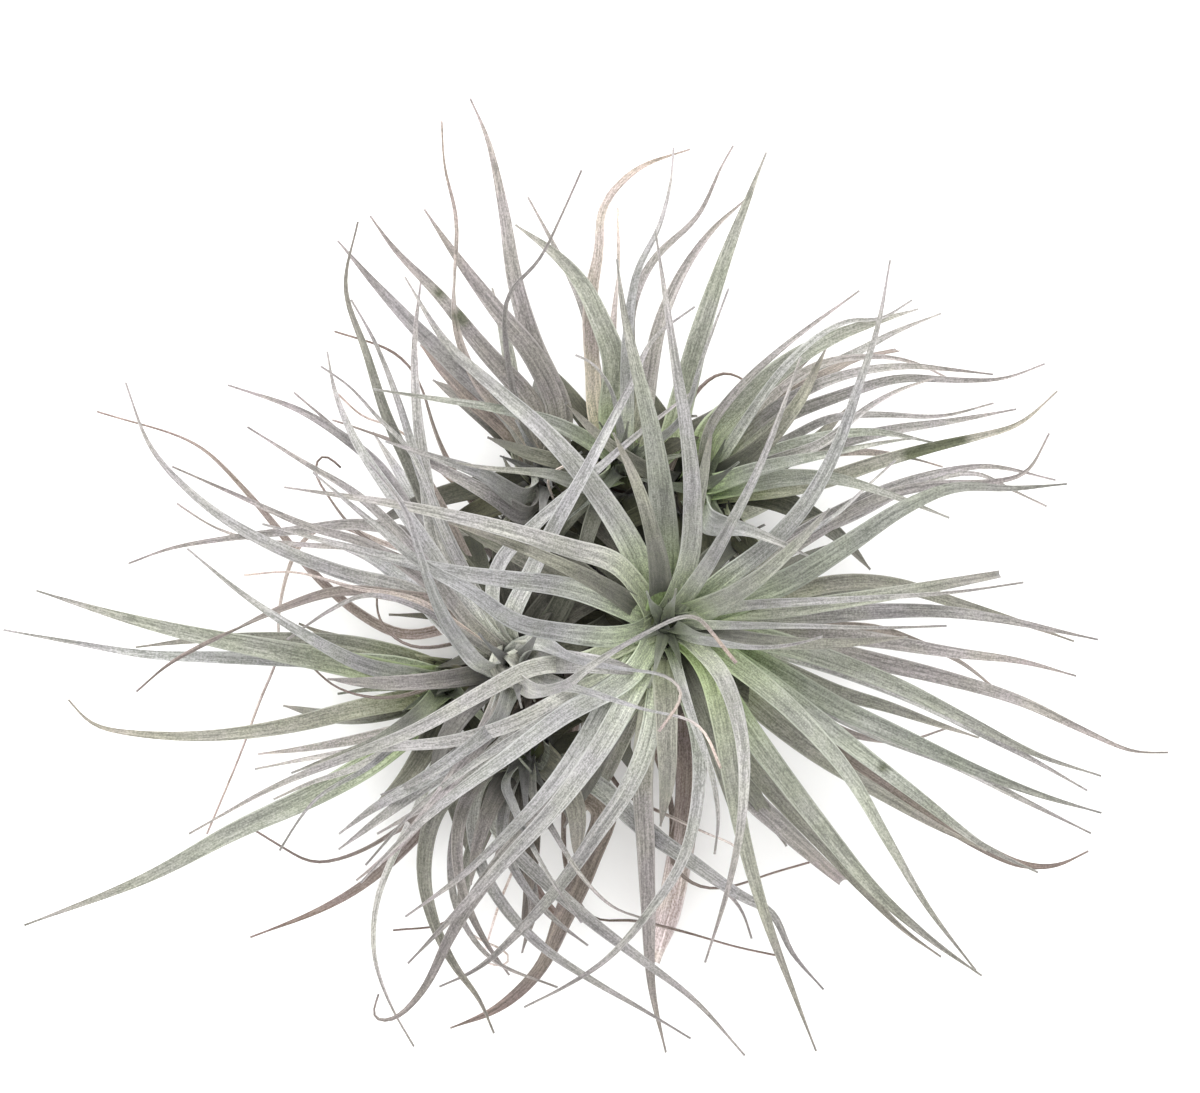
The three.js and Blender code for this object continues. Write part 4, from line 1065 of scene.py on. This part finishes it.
SKIRT_REACH = (38, 62)   # from its middle
FOOT_TOP = 21
FOOT_SCALES = 46         # broken sheaths on the foot
SCALE_SPACING = 2.6      # from one broken sheath to the next along a branch


def add_extra(bundle, rosette, index):
    seed = SEEDS_APART * (index + 1) + EXTRA_FROM
    for leaf in leaves_from(EXTRA[rosette["name"]], rosette, seed):
        leaf["deep"] = leaf["layer"] == "L"
        line = Line(leaf, FINEST_STEPS)
        add_leaf(bundle, leaf, line.points(EVERY_STEP), line.twist)


def add_strap(bundle, rosette):
    """The leaf that crosses the centre rosette's heart, and ends in a pink curl there."""
    leaf = leaf_from("C k 4.4 0,0", rosette, STRAP_LOOKS)
    add_leaf(bundle, leaf, spline(STRAP, FINEST_STEPS))


def add_skirt(bundle):
    random = random_from(SKIRT_SEED)
    for i in range(SKIRT):
        turned = math.radians(GOLDEN * i + mix(-10, 10, random()))
        reach = mix(*SKIRT_REACH, random())
        bend = mix(-0.3, 0.3, random())
        way = np.linspace(0, 1, 24)
        angle = turned + bend * way
        out = mix(7, reach, way)
        start, peak = mix(14, 34, i / SKIRT), mix(4, 16, random())
        height = np.maximum(start * (1 - way ** 1.3) + peak * np.sin(way * math.pi) ** 0.8, 1.6)
        path = np.stack([out * np.cos(angle), out * np.sin(angle), height], 1)
        path, run = resampled(path, STEP)
        share = run / run[-1]
        along, across = blade_across(path, share)
        roll = 0.35 * np.sin(share * mix(5, 9, random()) + 6 * random())
        across = turned_about(across, along, roll)
        width = np.maximum(mix(6, 9.5, random()) * (1 - share ** 2.4), 0.8)
        rings = sections(path, along, across, width, mix(0.7, 0.35, share),
                         np.full_like(share, 0.55), SCALE_LOWEST)
        # painted shade: the skirt lies under the clump, so its tones are darkened to between a third
        # and two thirds
        colour = linear(TONES["bbop"[int(random() * 4)]][1]) * mix(0.35, 0.7, random())
        tint = np.broadcast_to(colour, (*rings.shape[:2], 3))
        bundle.strip(rings, tint, share, ACROSS, IS_UNDER, 600 + i * 3.7)


def add_tube(bundle, path, radius, sides, colour, offset, ridges=0.08):
    along = unit(np.gradient(path, axis=0))
    side = unit(np.cross(along, (0.3, 1.0, 0.1)))
    other = np.cross(along, side)
    angle = angles_round(sides)
    way = np.linspace(0, 1, len(path))
    wave = (1 + ridges * np.sin(angle * 5 + way[:, None] * 9 + offset)
            + ridges * 0.5 * np.sin(angle * 9 - way[:, None] * 31))
    reach = (radius * wave)[:, :, None]
    c, s = np.cos(angle)[:, None], np.sin(angle)[:, None]
    rings = path[:, None] + side[:, None] * (reach * c) + other[:, None] * (reach * s)
    tint = np.broadcast_to(colour, (*rings.shape[:2], 3))
    bundle.strip(rings, tint, way, np.cos(angle), np.zeros(sides), offset)


def add_scale(bundle, at, out, up, length, width, colour, offset):
    """An old leaf's dry sheath, broken off short, that stands off the stem."""
    way = np.linspace(0, 1, 9)[:, None]
    path = at + up * length * way + out * length * (0.08 + 0.34 * way ** 2)
    share = way[:, 0]
    along = unit(np.gradient(path, axis=0))
    level = np.cross(out, up)
    across = unit(level - along * (along @ level)[:, None])
    wide = width * (1 - share ** 2.2) + 0.5
    rings = sections(path, along, across, wide, mix(0.75, 0.45, share), np.full(9, 0.6), SCALE_LOWEST)
    tint = np.repeat((colour * mix(0.8, 1.15, share)[:, None])[:, None], len(ACROSS), 1)
    bundle.strip(rings, tint, share, ACROSS, IS_UNDER, offset)


def add_old_stem(bundle):
    sides = 72
    angle = angles_round(sides)
    radii, heights = zip(*FOOT)
    steps = np.linspace(0, FOOT_TOP, 26)
    rings = []
    for height in steps:
        radius = np.interp(height, heights, radii)
        waves = np.sin(angle * 11 + height * 0.3) + np.sin(angle * 23 + 1)
        out = radius * (1 + 0.02 * min(height / 3, 1) * waves)
        rings.append(np.stack([out * np.cos(angle), out * np.sin(angle), np.full(sides, height)], 1))
    tint = np.broadcast_to(linear((99, 85, 72)), (len(rings), sides, 3))
    bundle.strip(np.array(rings), tint, steps / FOOT_TOP, np.cos(angle), np.zeros(sides), 1.0)
    random = random_from(SCALE_SEED)
    for index, rosette in enumerate(ROSETTES):
        x, y, z = rosette["at"]
        base, lean = rosette["base"], rosette["lean"]
        path = spline([(x * 0.1, y * 0.1, BRANCH_FROM),
                       (x * 0.6, y * 0.6, mix(BRANCH_FROM, z - base, 0.5)),
                       (x - lean[0] / 2, y - lean[1] / 2, z - base)], 40)
        add_tube(bundle, path, BRANCH_RADIUS * 0.92, 20, linear((104, 88, 76)), index * 3.1)
        along = unit(np.gradient(path, axis=0))
        run = run_along(path)
        count = int(run[-1] / SCALE_SPACING)
        for i in range(count):
            at, up = (np.array([np.interp(run[-1] * (i + 0.5) / count, run, values[:, k])
                                for k in range(3)]) for values in (path, along))
            up = unit(up)
            side = unit(np.cross(up, (0.3, 1.0, 0.1)))
            turned = math.radians(GOLDEN * i)
            out = side * math.cos(turned) + np.cross(up, side) * math.sin(turned)
            tone = TONES["bok"[int(random() * 2.4)]][1]
            colour = linear(tone) * mix(0.65, 1.0, random())
            add_scale(bundle, at + out * BRANCH_RADIUS * 0.75, out, up, mix(12, 24, random()),
                      mix(7, 10, random()), colour, 200 + i * 5.7 + index)
    for i in range(FOOT_SCALES):
        turned = math.radians(GOLDEN * i)
        out = np.array([math.cos(turned), math.sin(turned), 0])
        height = mix(2.5, 17, i / (FOOT_SCALES - 1))
        radius = np.interp(height, heights, radii)
        slope = unit(np.array([-out[0] * 0.5, -out[1] * 0.5, 1]))
        colour = linear(TONES["b"][1]) * mix(0.6, 1.0, random())
        add_scale(bundle, out * (radius - 2.5) + np.array([0, 0, height]), out, slope,
                  mix(9, 16, random()), mix(8, 12, random()), colour, 400 + i * 4.3)


def plain_material(name, rgb, roughness, mottle):
    g = Graph(name)
    place = g.add("NewGeometry", {}, "Position")
    cloud = g.noise(place, (3.0, 3.0, 3.0), 2.0, 0.5)
    colour = g.blend(g.ramp(cloud, 0.3, 0.7), rgba(rgb), rgba([c - mottle for c in rgb]))
    g.give(g.shader.inputs["Base Color"], colour)
    g.shader.inputs["Roughness"].default_value = roughness
    return g.material


def area_light(name, place, size, power, target=(0, 0, 0.1)):
    light = bpy.data.lights.new(name, "AREA")
    light.shape, light.size, light.energy = "DISK", size, power
    lamp = linked(name, light)
    lamp.location = place
    lamp.rotation_euler = (Vector(target) - Vector(place)).to_track_quat("-Z", "Y").to_euler()


# The camera looks straight down, as in the photograph, from far off. Metres from here on.
CAMERA_HEIGHT = 5.0
MIDDLE_HEIGHT = 0.07
VIEW_WIDTH = 0.396       # what the frame takes in at that height
VIEW_Y = 0.01765
camera = bpy.data.cameras.new("camera")
camera.sensor_width = 36
camera.lens = camera.sensor_width * (CAMERA_HEIGHT - MIDDLE_HEIGHT) / VIEW_WIDTH
eye = linked("camera", camera)
eye.location = (0, VIEW_Y, CAMERA_HEIGHT)
bpy.context.scene.camera = eye

silver = leaf_material("leaf_silver", dark=(0.81, 0.82, 0.8), fleck=0.45)
green = leaf_material("leaf_green", dark=(0.8, 0.82, 0.78), fleck=0.45)
dry = leaf_material("dry_leaf", dark=(0.78, 0.72, 0.66), fleck=0.2)
wood = stem_material()

for number, rosette in enumerate(ROSETTES):
    bundle = Bundle()
    add_core(bundle, rosette)
    place_leaves(bundle, rosette, number)
    add_extra(bundle, rosette, number)
    if rosette["name"] == "rosette_left":
        add_strap(bundle, rosette)
    material = silver if rosette["slot"] == "leaf_silver" else green
    name = rosette["name"]
    bundle.build(name.replace("rosette", "leaves"), material, name)

bundle = Bundle()
add_old_stem(bundle)
bundle.build("stem_fibres", wood, "old_stem")
bundle = Bundle()
place_leaves(bundle, OLD_STEM, len(ROSETTES))
add_skirt(bundle)
bundle.build("hanging_dry_leaves", dry, "old_stem")

FLOOR_HALF = 20
FLOOR_GAP = 0.0004       # below the part, so that the two never share a plane
floor_mesh = bpy.data.meshes.new("floor")
floor_mesh.from_pydata([(x * FLOOR_HALF, y * FLOOR_HALF, 0)
                        for x, y in ((-1, -1), (1, -1), (1, 1), (-1, 1))], [], [(0, 1, 2, 3)])
floor_mesh.materials.append(plain_material("pale_floor", (250, 250, 249), roughness=0.8, mottle=3))
floor = linked("floor", floor_mesh)
floor.location = (0, 0, -FLOOR_GAP)

world = bpy.data.worlds.new("world")
bpy.context.scene.world = world
world.use_nodes = True
sky = world.node_tree.nodes["Background"].inputs
sky["Color"].default_value = (1, 1, 1, 1)
sky["Strength"].default_value = 1.55
area_light("key", (-0.5, 1.6, 2.6), size=2.2, power=70)
area_light("top", (0.2, 0.0, 4.4), size=1.2, power=20)
bpy.context.scene.view_settings.view_transform = "Standard"
